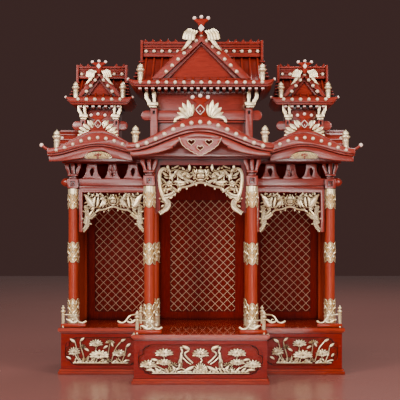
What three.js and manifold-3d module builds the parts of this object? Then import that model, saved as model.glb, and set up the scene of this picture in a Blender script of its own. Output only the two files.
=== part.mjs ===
// Household altar cabinet: a three-bay shrine in lacquered rosewood with cast gold fittings.
// Millimetres, +Z up, front towards -Y, origin at the centre of the footprint on the floor.

import * as THREE from 'three';
import { mergeVertices } from 'three/addons/utils/BufferGeometryUtils.js';
import Module from 'manifold-3d';

const wasm = await Module();
wasm.setup();

// Driving dimensions
const gap = 0.3;
const blockFront = -145; // front edge of the projecting centre block
const sideFront = blockFront + 122;
const backEdge = blockFront + 325;
const centreHalf = 143; // half width of the centre block over its mouldings
const sideHalf = 318;
const panelInset = 4.5;
const panelThickness = 14;
const plinthTop = 12;
const deckBottom = 91.3;
const deckTop = 104;
const frontColumnY = blockFront + 30;
const rearColumnY = blockFront + 165;
const outerColumnY = blockFront + 150;
const innerColumnX = 108;
const outerColumnX = 288;
const columnRadius = 11;
const headBottom = 414;
const headTop = 436;
const bracketTop = 470;
const ceilingBottom = 479.5;
const ceilingTop = 488;
const wallFront = blockFront + 306;
const wallBack = blockFront + 318;
const gableCentre = 225; // side bow gables
const towerCentre = 235;

const wood = { color: 0x8e2a1a, roughness: 0.22, metalness: 0 };
const gold = { color: 0xe6d3a4, roughness: 0.35, metalness: 0.85 };

const cabinet = new THREE.Group();
cabinet.name = 'household_altar_cabinet';

// Solids from three.js geometry

function solidOf(geometry) {
  const bare = geometry.clone();
  bare.deleteAttribute('normal');
  bare.deleteAttribute('uv');
  const merged = mergeVertices(bare, 1e-4);
  const places = merged.attributes.position.array;
  const corner = (i) => new THREE.Vector3().fromArray(places, 3 * i);
  const triangles = [];
  let volume = 0;
  for (let i = 0; i < merged.index.count; i += 3) {
    const [a, b, c] = merged.index.array.subarray(i, i + 3);
    if (a === b || b === c || c === a) continue;
    triangles.push([a, b, c]);
    volume += corner(a).dot(corner(b).cross(corner(c)));
  }
  if (volume < 0) triangles.forEach((triangle) => triangle.reverse());
  const mesh = new wasm.Mesh({
    numProp: 3,
    vertProperties: Float32Array.from(places),
    triVerts: Uint32Array.from(triangles.flat()),
  });
  return new wasm.Manifold(mesh);
}

function geometryOf(solid) {
  const mesh = solid.getMesh();
  const geometry = new THREE.BufferGeometry();
  geometry.setAttribute('position', new THREE.BufferAttribute(mesh.vertProperties, 3));
  geometry.setIndex(new THREE.BufferAttribute(mesh.triVerts, 1));
  geometry.computeVertexNormals();
  return geometry;
}

function place(parent, name, solid, look, x = 0, y = 0, z = 0) {
  const mesh = new THREE.Mesh(geometryOf(solid), new THREE.MeshStandardMaterial(look));
  mesh.name = name;
  mesh.position.set(x, y, z);
  parent.add(mesh);
}

const join = (solids) => solids.reduce((whole, solid) => whole.add(solid));
const sides = [['left', -1], ['right', 1]];

function box(x0, x1, y0, y1, z0, z1) {
  const geometry = new THREE.BoxGeometry(Math.abs(x1 - x0), y1 - y0, z1 - z0);
  geometry.translate((x0 + x1) / 2, (y0 + y1) / 2, (z0 + z1) / 2);
  return solidOf(geometry);
}

const shapeOf = (points) => new THREE.Shape(points.map(([u, v]) => new THREE.Vector2(u, v)));

function extrude(shape, depth) {
  return new THREE.ExtrudeGeometry(shape, { depth, bevelEnabled: false });
}

// Outline in X and Y, raised from z0 to z1
function flatBoard(points, z0, z1) {
  return solidOf(extrude(shapeOf(points), z1 - z0).translate(0, 0, z0));
}

// Outline in X and Z, running back from y0 to y1
function frontBoard(points, y0, y1, holes = []) {
  const shape = shapeOf(points);
  shape.holes = holes.map(shapeOf);
  return solidOf(extrude(shape, y1 - y0).rotateX(Math.PI / 2).translate(0, y1, 0));
}

// Outline in Y and Z, running across from x0 to x1
function sideBoard(points, x0, x1) {
  const turn = new THREE.Matrix4().makeBasis(
    new THREE.Vector3(0, 1, 0), new THREE.Vector3(0, 0, 1), new THREE.Vector3(1, 0, 0));
  return solidOf(extrude(shapeOf(points), x1 - x0).applyMatrix4(turn).translate(x0, 0, 0));
}

// Profile of [radius, height] pairs that starts and ends on the axis
function turned(profile, facets, x = 0, y = 0, z = 0) {
  const points = profile.map(([radius, height]) => new THREE.Vector2(radius, height));
  const geometry = new THREE.LatheGeometry(points, facets).rotateX(Math.PI / 2);
  return solidOf(geometry.rotateZ(Math.PI / facets).translate(x, y, z));
}

function ball(radius, x, y, z) {
  return solidOf(new THREE.SphereGeometry(radius, 6, 3).translate(x, y, z));
}

// Straight or bent bar with a round section along a curve
function bar(points, radius, facets, steps) {
  const curve = new THREE.CatmullRomCurve3(points.map((point) => new THREE.Vector3(...point)));
  const ring = new THREE.Shape();
  for (let i = 0; i < facets; i += 1) {
    const angle = 2 * Math.PI * i / facets;
    const corner = [radius * Math.cos(angle), radius * Math.sin(angle)];
    if (i) ring.lineTo(...corner);
    else ring.moveTo(...corner);
  }
  return solidOf(new THREE.ExtrudeGeometry(ring, { steps, extrudePath: curve, bevelEnabled: false }));
}

const polygon = (x, z, radius, facets, turn = 0, squash = 1) =>
  Array.from({ length: facets }, (_, i) => {
    const angle = turn + 2 * Math.PI * i / facets;
    return [x + radius * Math.cos(angle), z + squash * radius * Math.sin(angle)];
  });

const mirrored = (points) => [...points, ...points.slice().reverse().map(([x, z]) => [-x, z])];

// Base

function blockOutline(inset) {
  const half = [centreHalf - inset, sideHalf - inset];
  return mirrored([
    [half[0], blockFront + inset],
    [half[0], sideFront + inset],
    [half[1], sideFront + inset],
    [half[1], backEdge],
  ]);
}

const mouldedBoard = (layers) =>
  join(layers.map(([inset, z0, z1]) => flatBoard(blockOutline(inset), z0, z1)));

// Cusped field cut into a panel's face, with a bracket-shaped notch at each corner
function cuspedField(x, z, halfWidth, halfHeight) {
  const notch = 11;
  const corner = (alongX, alongZ) => [
    [alongX * halfWidth, alongZ * (halfHeight - 1.6 * notch)],
    [alongX * (halfWidth - 0.35 * notch), alongZ * (halfHeight - notch)],
    [alongX * (halfWidth - notch), alongZ * (halfHeight - 0.75 * notch)],
    [alongX * (halfWidth - 1.3 * notch), alongZ * (halfHeight - 0.2 * notch)],
    [alongX * (halfWidth - 2.2 * notch), alongZ * halfHeight],
  ];
  const loop = [
    ...corner(1, 1),
    ...corner(-1, 1).reverse(),
    ...corner(-1, -1),
    ...corner(1, -1).reverse(),
  ];
  return loop.map(([u, v]) => [x + u, z + v]);
}

const fieldDepth = 1.6;
const panelBottom = plinthTop + gap;
const panelTop = deckBottom - gap;
const panelMiddle = (panelBottom + panelTop) / 2;

function carvedPanel(x0, x1, face) {
  const board = box(x0, x1, face, face + panelThickness, panelBottom, panelTop);
  const halfField = Math.abs(x1 - x0) / 2 - 9;
  const field = cuspedField((x0 + x1) / 2, panelMiddle, halfField, 31);
  return board.subtract(frontBoard(field, face - 1, face + fieldDepth));
}

function buildBase() {
  const centreFace = blockFront + panelInset;
  const sideFace = sideFront + panelInset;
  const centreEdge = centreHalf - panelInset;
  const sideEdge = sideHalf - panelInset - 1.5;
  place(cabinet, 'plinth', mouldedBoard([[0, 0, 7], [2.4, 6.5, plinthTop]]), wood);
  place(cabinet, 'deck', mouldedBoard([
    [5.5, deckBottom, 94], [2.5, 93.5, 97], [0, 96.5, 102.5], [1.3, 102, deckTop],
  ]), wood);
  place(cabinet, 'centre_front_panel', carvedPanel(-centreEdge, centreEdge, centreFace), wood);
  const returnFront = centreFace + panelThickness + gap;
  const sideBack = sideFace + panelThickness + gap;
  for (const [side, sign] of sides) {
    const inner = sign * (centreEdge - panelThickness);
    const outer = sign * sideEdge;
    const returnPanel =
      box(inner, sign * centreEdge, returnFront, sideFace - gap, panelBottom, panelTop);
    const endPanel =
      box(sign * (sideEdge - panelThickness), outer, sideBack, backEdge, panelBottom, panelTop);
    place(cabinet, `${side}_return_panel`, returnPanel, wood);
    place(cabinet, `${side}_front_panel`, carvedPanel(inner, outer, sideFace), wood);
    place(cabinet, `${side}_end_panel`, endPanel, wood);
  }
  const backHalf = sideEdge - panelThickness - gap;
  const back = box(-backHalf, backHalf, backEdge - panelThickness, backEdge, panelBottom, panelTop);
  place(cabinet, 'base_back_panel', back, wood);
}

// Lotus reliefs: flat castings of flowers, buds, leaves, stems and a ground strip

const flowerDepth = 4.6;
const stemDepth = 2.6;

function reliefPiece(points, face, proud) {
  return frontBoard(points, face + fieldDepth - gap - proud, face + fieldDepth - gap);
}

function strip(x0, z0, x1, z1, width) {
  const length = Math.hypot(x1 - x0, z1 - z0);
  const across = [-(z1 - z0) / length * width / 2, (x1 - x0) / length * width / 2];
  return [
    [x0 + across[0], z0 + across[1]],
    [x0 - across[0], z0 - across[1]],
    [x1 - across[0], z1 - across[1]],
    [x1 + across[0], z1 + across[1]],
  ];
}

// Flower with its petal tips fanned upwards from the stem
function flower(x, z, size, face) {
  const tip = [[0, 0], [0.62, 0.2], [0.68, 0.6], [0.36, 0.62], [0, 1]];
  const outline = tip.map(([u, v]) => [u * size, v * size]);
  const loop = [...outline, ...outline.slice(1, -1).reverse().map(([u, v]) => [-u, v])];
  return reliefPiece(loop.map(([u, v]) => [x + u, z + v]), face, flowerDepth);
}

function bud(x, z, size, face) {
  return reliefPiece(polygon(x, z + 0.5 * size, 0.3 * size, 4, 0, 1.7), face, flowerDepth);
}

function leaf(x, z, width, height, face) {
  return reliefPiece(polygon(x, z, width / 2, 6, 0, height / width), face, flowerDepth);
}

function centreRelief() {
  const face = blockFront + panelInset;
  const ground = 24;
  const stem = (x0, x1, z1) => reliefPiece(strip(x0, ground, x1, z1, 2.4), face, stemDepth);
  const pieces = [reliefPiece(strip(-108, ground, 108, ground, 4), face, stemDepth)];
  pieces.push(flower(0, 62, 17, face), stem(0, 0, 64));
  pieces.push(leaf(-8, 36, 34, 17, face), leaf(9, 33, 30, 14, face));
  for (const [, sign] of sides) {
    pieces.push(flower(sign * 76, 62, 19, face), stem(sign * 60, sign * 76, 66));
    pieces.push(flower(sign * 108, 38, 15, face), stem(sign * 100, sign * 108, 42));
    pieces.push(bud(sign * 27, 72, 10, face), stem(sign * 16, sign * 27, 74));
    pieces.push(leaf(sign * 92, 37, 26, 11, face));
    pieces.push(leaf(sign * 62, 36, 20, 13, face));
    const bird = [
      [36, 30], [42, 28], [50, 44], [49, 58], [42, 66], [44, 76], [38, 80], [30, 76], [37, 73],
      [36, 62], [39, 48],
    ].map(([x, z]) => [sign * x, z]);
    pieces.push(reliefPiece(bird, face, flowerDepth), stem(sign * 40, sign * 39, 31));
  }
  return join(pieces);
}

// Both side reliefs show the same group, so the one outline is placed twice
function sideRelief() {
  const face = 0;
  const ground = 28;
  const stem = (x0, x1, z1) => reliefPiece(strip(x0, ground, x1, z1, 2.4), face, stemDepth);
  return join([
    reliefPiece(strip(-48, ground, 62, ground, 4), face, stemDepth),
    reliefPiece([[-50, 26], [-38, 36], [-18, 30], [2, 38], [26, 27]], face, flowerDepth),
    reliefPiece([[30, 27], [44, 38], [66, 27]], face, flowerDepth),
    flower(-6, 64, 17, face), stem(-8, -6, 68),
    flower(46, 46, 17, face), stem(34, 46, 50),
    bud(-57, 69, 10, face), stem(-44, -57, 71),
    bud(-38, 71, 10, face), stem(-36, -38, 73),
    bud(52, 70, 10, face), stem(50, 52, 72),
    leaf(-50, 52, 26, 17, face), leaf(-2, 50, 40, 11, face),
    leaf(26, 72, 20, 11, face), stem(24, 26, 72),
  ]);
}

// Corner rails: a capped post on the deck's corner, with a rail that runs off it and curls to a foot

function cornerRail(sign) {
  const foot = deckTop + gap;
  const rail = bar([
    [0, 0, 132], [sign * 16, 0, 132.5], [sign * 27, 0, 129], [sign * 33, 0, 120],
    [sign * 40, 0, 114.5], [sign * 49, 0, 116],
  ], 2, 5, 7);
  const post = turned([
    [0, foot], [3.6, foot], [3.2, 137], [5.5, 139], [3, 142], [4.6, 146], [0, 154],
  ], 6);
  const leafCurl = frontBoard([
    [0, 112], [sign * 30, 112], [sign * 24, 117], [sign * 17, 117], [sign * 14, 123], [0, 128],
  ], -1.5, 1.5);
  return join([
    post, rail, leafCurl, box(0, sign * 51, -4, 4, foot, 113),
  ]);
}

function buildRails() {
  const places = [
    ['centre', 132, blockFront + 9, -1],
    ['inner', 135, sideFront + 9, 1],
    ['outer', 308, sideFront + 9, -1],
  ];
  for (const [side, sign] of sides) {
    for (const [label, x, y, inward] of places) {
      place(cabinet, `${side}_${label}_corner_rail`, cornerRail(sign * inward), gold, sign * x, y);
    }
  }
}

// Columns

function column(foot, top) {
  const sleeve = columnRadius + 1;
  const profile = [
    [0, foot], [13.5, foot], [columnRadius, foot + 26],
    [columnRadius, 142], [sleeve, 142], [sleeve, 167], [columnRadius, 167],
    [columnRadius, 248], [sleeve, 248], [sleeve, 293], [columnRadius, 293],
    [columnRadius, 368], [sleeve, 368], [sleeve, 413], [columnRadius, 413],
    [columnRadius, top], [0, top],
  ];
  return turned(profile, 9);
}

function buildColumns() {
  const foot = deckTop + gap;
  for (const [side, sign] of sides) {
    const front = column(foot, headBottom - gap);
    const rear = turned([[0, foot], [columnRadius, foot], [columnRadius, ceilingBottom - gap],
      [0, ceilingBottom - gap]], 10);
    place(cabinet, `${side}_front_column`, front, wood, sign * innerColumnX, frontColumnY);
    place(cabinet, `${side}_rear_column`, rear, wood, sign * innerColumnX, rearColumnY);
    place(cabinet, `${side}_outer_column`, front, wood, sign * outerColumnX, outerColumnY);
  }
}

// Head block with a three-pronged bracket, drawn about the column's own axis
function columnBracket() {
  const prongs = mirrored([
    [4, bracketTop], [4, headTop + 9], [10, headTop + 12], [10, bracketTop],
    [18, bracketTop], [18, headTop + 14], [12, headTop - 1],
  ].reverse());
  return join([
    box(-12, 12, -12, 12, headBottom, headTop),
    frontBoard(prongs, -10, 3.5),
    box(-10, 10, 2.5, 10, headTop - 1, bracketTop),
  ]);
}

// Side beam with a rounded nose outside the outer column, and three struts on top

const beamBottom = 418;
const beamFront = outerColumnY - 6;
const beamBack = outerColumnY + 6;

function sideBeam(sign) {
  const top = headTop + 0.5;
  const middle = (beamBottom + top) / 2;
  const nose = Array.from({ length: 7 }, (_, i) => {
    const angle = -Math.PI / 2 + Math.PI * i / 6;
    return [sign * (302 + 14 * Math.cos(angle)), middle + (top - middle) * Math.sin(angle)];
  });
  const inner = sign * (innerColumnX + columnRadius + 1);
  const beam = frontBoard([[inner, beamBottom], ...nose, [inner, top]], beamFront, beamBack);
  const strutAt = (offset, foot, head) => {
    const x = sign * offset;
    const outline = [
      [x - foot, top - 1], [x - head, top + 14], [x - head, bracketTop - gap],
      [x + head, bracketTop - gap], [x + head, top + 14], [x + foot, top - 1],
    ];
    const hole = polygon(x, top + 14, 5, 6, Math.PI / 2, 1.3);
    return frontBoard(outline, beamFront + 2, beamBack - 2, [hole]);
  };
  return join([beam, strutAt(154, 17, 9), strutAt(200, 15, 11), strutAt(246, 17, 9)]);
}

function buildHeads() {
  const bracket = columnBracket();
  for (const [side, sign] of sides) {
    const slot = box(-40, 40, -6 - gap, 6 + gap, beamBottom - gap, headTop + 0.5 + gap);
    place(cabinet, `${side}_front_bracket`, bracket, wood, sign * innerColumnX, frontColumnY);
    place(cabinet, `${side}_outer_bracket`, bracket.subtract(slot), wood,
      sign * outerColumnX, outerColumnY);
    place(cabinet, `${side}_side_beam`, sideBeam(sign), wood);
  }
}

// Lintel frames: a lintel with two short legs that hold a valance

function lintelFrame(x0, x1, y, legBottom, lintelBottom, top, leg) {
  return frontBoard([
    [x0, legBottom], [x0, top], [x1, top], [x1, legBottom], [x1 - leg, legBottom],
    [x1 - leg, lintelBottom], [x0 + leg, lintelBottom], [x0 + leg, legBottom],
  ], y, y + 8);
}

// Openwork valance hung inside a lintel frame: leaf scrolls over an arch, with a leg at each end
function valance(halfWidth, top, legBottom, archTop, thickness) {
  const drop = top - legBottom;
  const lobes = 6;
  const outline = [[halfWidth, top], [halfWidth, legBottom + 0.12 * drop], [halfWidth - 7, legBottom]];
  for (let i = 0; i <= lobes; i += 1) {
    const turn = i / lobes * Math.PI / 2;
    const reach = i % 2 ? 1 : 0.9;
    outline.push([
      (halfWidth - 19) * Math.cos(turn) * reach,
      legBottom + 0.16 * drop + (archTop - legBottom - 0.16 * drop) * Math.sin(turn) * reach,
    ]);
  }
  outline.pop();
  outline.push([9, archTop + 3], [0, archTop - 2]);
  const loop = [...outline, ...outline.slice(0, -1).reverse().map(([x, z]) => [-x, z])];
  const holes = [];
  for (const sign of [-1, 1]) {
    for (const [u, v, size] of [[0.86, 0.16, 0.06], [0.62, 0.14, 0.07], [0.36, 0.13, 0.06],
      [0.87, 0.42, 0.05], [0.88, 0.66, 0.035]]) {
      holes.push(polygon(sign * u * halfWidth, top - v * drop, size * halfWidth, 6, sign * u, 0.8));
    }
  }
  const plate = frontBoard(loop, 0, thickness, holes);
  const jewel = frontBoard(polygon(0, top - 0.17 * drop, 8, 6, Math.PI / 2, 1.25), -2.5, 1);
  return plate.add(jewel);
}

function buildFrames() {
  const centreOuter = innerColumnX - columnRadius - 1.2;
  const frameY = frontColumnY + 4;
  const centreFrame = lintelFrame(-centreOuter, centreOuter, frameY, 357, 458, ceilingBottom - gap, 10);
  place(cabinet, 'centre_lintel_frame', centreFrame, wood);
  const centreValance = valance(centreOuter - 10 - gap, 458 - gap, 357, 424, 5);
  place(cabinet, 'centre_valance', centreValance, gold, 0, frameY + 1);
  const sideInner = innerColumnX + columnRadius + 1.5;
  const sideOuter = outerColumnX - columnRadius - 1.3;
  const sideY = beamFront + 2;
  const sideMiddle = (sideInner + sideOuter) / 2;
  const halfFrame = (sideOuter - sideInner) / 2;
  const frame = lintelFrame(-halfFrame, halfFrame, 0, 316, 405, beamBottom - gap, 9);
  const sideValance = valance(halfFrame - 9 - gap, 405 - gap, 316, 368, 5);
  for (const [side, sign] of sides) {
    place(cabinet, `${side}_lintel_frame`, frame, wood, sign * sideMiddle, sideY);
    place(cabinet, `${side}_valance`, sideValance, gold, sign * sideMiddle, sideY + 1);
  }
}

// Walls and ceiling

// Each latticed field's middle and half width
const latticeFields = [[-201.5, 60.5], [0, 79], [201.5, 60.5]];

function buildWalls() {
  const foot = deckTop + gap;
  const head = ceilingBottom - gap;
  let wall = box(-297, 297, wallFront, wallBack, foot, head);
  for (const [x, half] of latticeFields) {
    wall = wall.subtract(box(x - half, x + half, wallFront - 1, wallFront + 3, 123, 393));
  }
  place(cabinet, 'back_wall', wall, wood);
  for (const [side, sign] of sides) {
    const profile = [[0, foot], [9, foot], [9, head], [0, head]];
    const post = turned(profile, 8, sign * outerColumnX, wallFront - 9.6);
    const sheet = box(sign * 284, sign * 292, outerColumnY + 14, wallFront - 9.6, foot, head);
    const divider =
      box(sign * 104, sign * 112, rearColumnY + columnRadius + gap, wallFront - gap, foot, head);
    place(cabinet, `${side}_side_wall`, sheet.add(post), wood);
    place(cabinet, `${side}_partition`, divider, wood);
  }
  const outline = mirrored([
    [150, blockFront + 10], [150, blockFront + 128], [318, blockFront + 128], [318, backEdge],
  ]);
  const purlins = [box(-128, 128, frontColumnY - 10, frontColumnY + 3.7, bracketTop + gap, ceilingTop - 4)];
  for (const [, sign] of sides) {
    purlins.push(box(sign * 121, sign * 312, beamFront - 2, beamBack + 2, bracketTop + gap, ceilingTop - 4));
  }
  place(cabinet, 'ceiling', join([flatBoard(outline, ceilingBottom, ceilingTop), ...purlins]), wood);
}

// Lower roofs: bow gables whose edge rises in the middle and flattens out at the ends

// Each edge is a [peak, end] pair of heights
const centreRoof = {
  half: 150, front: blockFront - 35, back: blockFront + 130,
  top: [550.5, 497], under: [520.5, 481], trim: [509.7, 472.4],
};
const sideRoof = {
  half: 110, front: blockFront + 85, back: blockFront + 191,
  top: [539, 499], under: [503.4, 482], trim: [492, 470.5],
};
const facetsPerHalf = 7;

const smoothBow = (t, [peak, end]) => end + (peak - end) * (1 + Math.cos(Math.PI * t)) / 2;

// Height of an edge at x from the roof's centre, along straight facets
function bowAt(roof, edge, x) {
  const facet = Math.min(Math.abs(x) / roof.half, 1) * facetsPerHalf;
  const left = Math.min(Math.floor(facet), facetsPerHalf - 1);
  const heights = [left, left + 1].map((i) => smoothBow(i / facetsPerHalf, edge));
  return THREE.MathUtils.lerp(...heights, facet - left);
}

// Points of an edge between two places, with a corner at every facet
function bowEdge(roof, edge, x0, x1, lift = 0) {
  const xs = [x0];
  for (let i = -facetsPerHalf; i <= facetsPerHalf; i += 1) {
    const x = i * roof.half / facetsPerHalf;
    if (x > x0 + 0.01 && x < x1 - 0.01) xs.push(x);
  }
  return [...xs, x1].map((x) => [x, bowAt(roof, edge, x) + lift]);
}

function bowBand(roof, upper, lower, x0, x1, y0, y1) {
  return frontBoard([...bowEdge(roof, lower, x0, x1), ...bowEdge(roof, upper, x0, x1).reverse()], y0, y1);
}

function postFinial(x, y, z, height) {
  const rise = height / 36;
  return turned([
    [0, 0], [4.6, 0], [4.6, 17 * rise], [8, 19 * rise], [8, 22 * rise], [7, 27 * rise], [0, height],
  ], 6, x, y, z);
}

// Slim horn with a ball at its tip, leaning outwards from a roof's corner
function horn(x, y, z, sign, length) {
  const tip = [x + sign * length, y, z + 0.55 * length];
  return join([bar([[x - sign * 4, y, z - 2.2], tip], 2, 5, 1), ball(3.4, ...tip)]);
}

// Heart-shaped board with three piercings, hung under the centre gable
function gablePendant() {
  const right = [[39, 503], [38, 499], [32, 494], [26, 490], [20, 488], [16, 483], [8, 478], [0, 472]];
  const outline = [
    ...bowEdge(centreRoof, centreRoof.trim, -39, 39, 3),
    ...right, ...right.slice(0, -1).reverse().map(([x, z]) => [-x, z]),
  ];
  const holes = [[-18, 499], [18, 499], [0, 487]].map(([x, z]) => polygon(x, z, 5, 6, 0, 0.8));
  return frontBoard(outline, centreRoof.front + 1, centreRoof.front + 8, holes);
}

const tuckedIn = ([peak, end]) => [peak + 4, end + 4]; // edge hidden inside the slab above it

function buildCentreRoof() {
  const { half, front, back, top, under, trim } = centreRoof;
  const deckSpace = box(-160, 160, blockFront + 9.7, back + 1, 400, ceilingTop + gap);
  const pieces = [
    bowBand(centreRoof, top, under, -half, half, front, back).subtract(deckSpace),
    bowBand(centreRoof, tuckedIn(under), trim, -142, 142, front + 3, front + 13),
    bowBand(centreRoof, tuckedIn(under), [474, 474], -128, 128, blockFront + 4, blockFront + 9.5),
    gablePendant(),
  ];
  for (const [, sign] of sides) {
    pieces.push(postFinial(sign * 132, front + 9, bowAt(centreRoof, top, 132) - 2, 36));
    pieces.push(horn(sign * half, front + 70, top[1] - 3, sign, 16));
  }
  place(cabinet, 'centre_lower_roof', join(pieces), wood);
}

// Drawn about its own gable's centre; the outer side is towards sign, and the inner end is cut short
function sideLowerRoof(sign) {
  const { half, front, back, top, under, trim } = sideRoof;
  const across = (x0, x1) => [Math.min(sign * x0, sign * x1), Math.max(sign * x0, sign * x1)];
  const inner = centreRoof.half + gap - gableCentre;
  const depthMiddle = blockFront + 240;
  const depthHalf = backEdge - depthMiddle;
  // The end gable faces sideways and bows over the middle of the roof's depth
  const edge = (heights) => Array.from({ length: 11 }, (_, i) => {
    const t = i / 5 - 1;
    return [depthMiddle + t * depthHalf, smoothBow(t, heights)];
  });
  const endGable = [...edge([528, ceilingTop]), ...edge([554, 497]).reverse()];
  const pieces = [
    bowBand(sideRoof, top, under, ...across(inner, half), front, back),
    bowBand(sideRoof, tuckedIn(under), trim, ...across(inner + 12, half - 12), front + 3, front + 12),
    sideBoard(endGable, ...across(half - 33, half)),
    box(...across(inner, half - 29), back - 4, backEdge, ceilingTop, ceilingTop + 12),
    postFinial(sign * 90, front + 9, bowAt(sideRoof, top, 90) - 2, 38),
    horn(sign * half, front + 8, top[1] - 2, sign, 15),
  ];
  const deckSpace = box(-half - 1, half + 1, blockFront + 127.5, backEdge + 1, 400, ceilingTop + gap);
  return join(pieces).subtract(deckSpace);
}

// Gable ornaments

// Crest along a bow gable's ridge: leaf fans each side of a jewel, with three balls on a crown
function gableCrest(roof, leaves, crownZ, ballZ, y) {
  const foot = leaves[0][0];
  const bottom = bowEdge(roof, roof.top, -foot, foot, gap);
  const upper = [...leaves, ...leaves.slice().reverse().map(([x, z]) => [-x, z])];
  const jewelZ = (roof.top[0] + crownZ) / 2 + 1;
  return join([
    frontBoard([...bottom, ...upper], y, y + 8),
    frontBoard(polygon(0, jewelZ, 7, 4, 0, 1.3), y - 3, y + 1),
    box(-11, 11, y, y + 8, crownZ - 3, ballZ),
    ...[-1, 0, 1].map((i) => ball(4, 15.3 * i * 0.62, y + 4, ballZ + (i ? 0 : 2.5))),
  ]);
}

function buildGableOrnaments() {
  const front = centreRoof.front;
  const centreLeaves = [
    [54, 543.5], [50, 552], [42, 553], [53, 563], [40, 564], [43, 579], [32, 572], [27, 584],
    [20, 570], [10, 577], [11, 586],
  ];
  place(cabinet, 'centre_gable_crest',
    gableCrest(centreRoof, centreLeaves, 583, 591, front + 3), gold);
  const sideLeaves = [
    [45, 526], [39, 531], [40, 541], [30, 537], [28, 550], [19, 545], [15, 558], [9, 555], [10, 565],
  ];
  const sideCrest = gableCrest(sideRoof, sideLeaves, 562, 569, sideRoof.front + 3);
  const fanTop = bowEdge(sideRoof, sideRoof.trim, -31, 31, -gap);
  const fan = frontBoard([...fanTop, [24, 478], [0, 475.5], [-24, 478]], 0, 6);
  for (const [side, sign] of sides) {
    place(cabinet, `${side}_gable_crest`, sideCrest, gold, sign * gableCentre);
    place(cabinet, `${side}_gable_fan`, fan, gold, sign * gableCentre, sideRoof.front + 4);
  }
}

// Towers: a walled body with a beam on two posts, and a ridged roof with a front gable

function towerBody(tower) {
  const { bodyHalf, bodyFront, bodyBack, foot, head, beam, beamHalf, postX } = tower;
  const wall = 8;
  const shell = box(-bodyHalf, bodyHalf, bodyFront, bodyBack, foot, head)
    .subtract(box(
      wall - bodyHalf, bodyHalf - wall, bodyFront + wall, bodyBack - wall, foot - 1, head - wall,
    ));
  const beamY = bodyFront - 10;
  const nose = 8;
  const middle = (beam[0] + beam[1]) / 2;
  const beamOutline = mirrored([
    [beamHalf - nose, beam[0]], [beamHalf - 2, middle - 6], [beamHalf, middle],
    [beamHalf - 2, middle + 6], [beamHalf - nose, beam[1]],
  ]);
  const pieces = [shell, frontBoard(beamOutline, beamY, bodyFront + 1)];
  for (const [, sign] of sides) {
    const x = sign * postX;
    const bracket = [
      [-9, beam[1] - 1], [9, beam[1] - 1], [9, beam[1] + 12], [13, beam[1] + 12], [13, head],
      [6, head], [6, beam[1] + 18], [-3, beam[1] + 18], [-3, head], [-11, head], [-11, beam[1] + 12],
      [-9, beam[1] + 12],
    ].map(([u, z]) => [x + sign * u, z]);
    pieces.push(frontBoard(bracket, beamY, bodyFront + 1));
    pieces.push(turned([[0, foot], [7, foot], [7, beam[0] + 2], [0, beam[0] + 2]], 8, x, beamY + 2));
  }
  return join(pieces);
}

// Eave edge: level, with both tips turned up
function eaveBoard(half, z0, z1, y0, y1) {
  const steps = 8;
  const lift = 7;
  const edge = (z) => Array.from({ length: steps + 1 }, (_, i) => {
    const t = 2 * i / steps - 1;
    return [t * half, z + lift * Math.abs(t) ** 5];
  });
  return frontBoard([...edge(z0), ...edge(z1).reverse()], y0, y1);
}

// Hollow-sided triangle of a gable, from its foot corner up to the apex
function gableOutline(halfFoot, foot, apex) {
  const steps = 3;
  const right = Array.from({ length: steps + 1 }, (_, i) => {
    const t = i / steps;
    return [halfFoot * (1 - t) * (1 - 0.18 * t), foot + (apex - foot) * t];
  });
  return [...right, ...right.slice(0, -1).reverse().map(([x, z]) => [-x, z])];
}

function towerRoof(tower) {
  const { eaveHalf, eave, eaveFront, eaveBack, ridgeHalf, ridge, gable, gableFront, opening } = tower;
  const ridgeY = (eaveFront + eaveBack) / 2;
  const depth = (eaveBack - eaveFront) / 2;
  const slope = (sign) => Array.from({ length: 4 }, (_, i) => {
    const t = i / 3;
    const out = 4 + (depth - 8) * (1 - t) * (1 - 0.15 * t);
    return [ridgeY + sign * out, THREE.MathUtils.lerp(eave[1] - 2, ridge[0], t)];
  });
  const body = sideBoard([...slope(-1), ...slope(1).reverse()], -ridgeHalf - 4, ridgeHalf + 4);
  const ridgeBlock = sideBoard([
    [ridgeY - 10, ridge[0]], [ridgeY - 10, ridge[1] - 6], [ridgeY - 4, ridge[1]],
    [ridgeY + 4, ridge[1]], [ridgeY + 10, ridge[1] - 6], [ridgeY + 10, ridge[0]],
  ], -ridgeHalf, ridgeHalf);
  const front = frontBoard(gableOutline(...gable), gableFront, ridgeY);
  const recess = frontBoard(gableOutline(...opening), gableFront - 1, gableFront + 6);
  const pieces = [
    eaveBoard(eaveHalf, ...eave, eaveFront, eaveBack), body, ridgeBlock, front.subtract(recess),
  ];
  for (const [, sign] of sides) {
    pieces.push(postFinial(sign * tower.finialX, eaveFront + 9, eave[1] - 2, 38));
  }
  return join(pieces);
}

const ballSpread = 14.4; // between the middles of the crown's balls

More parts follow.
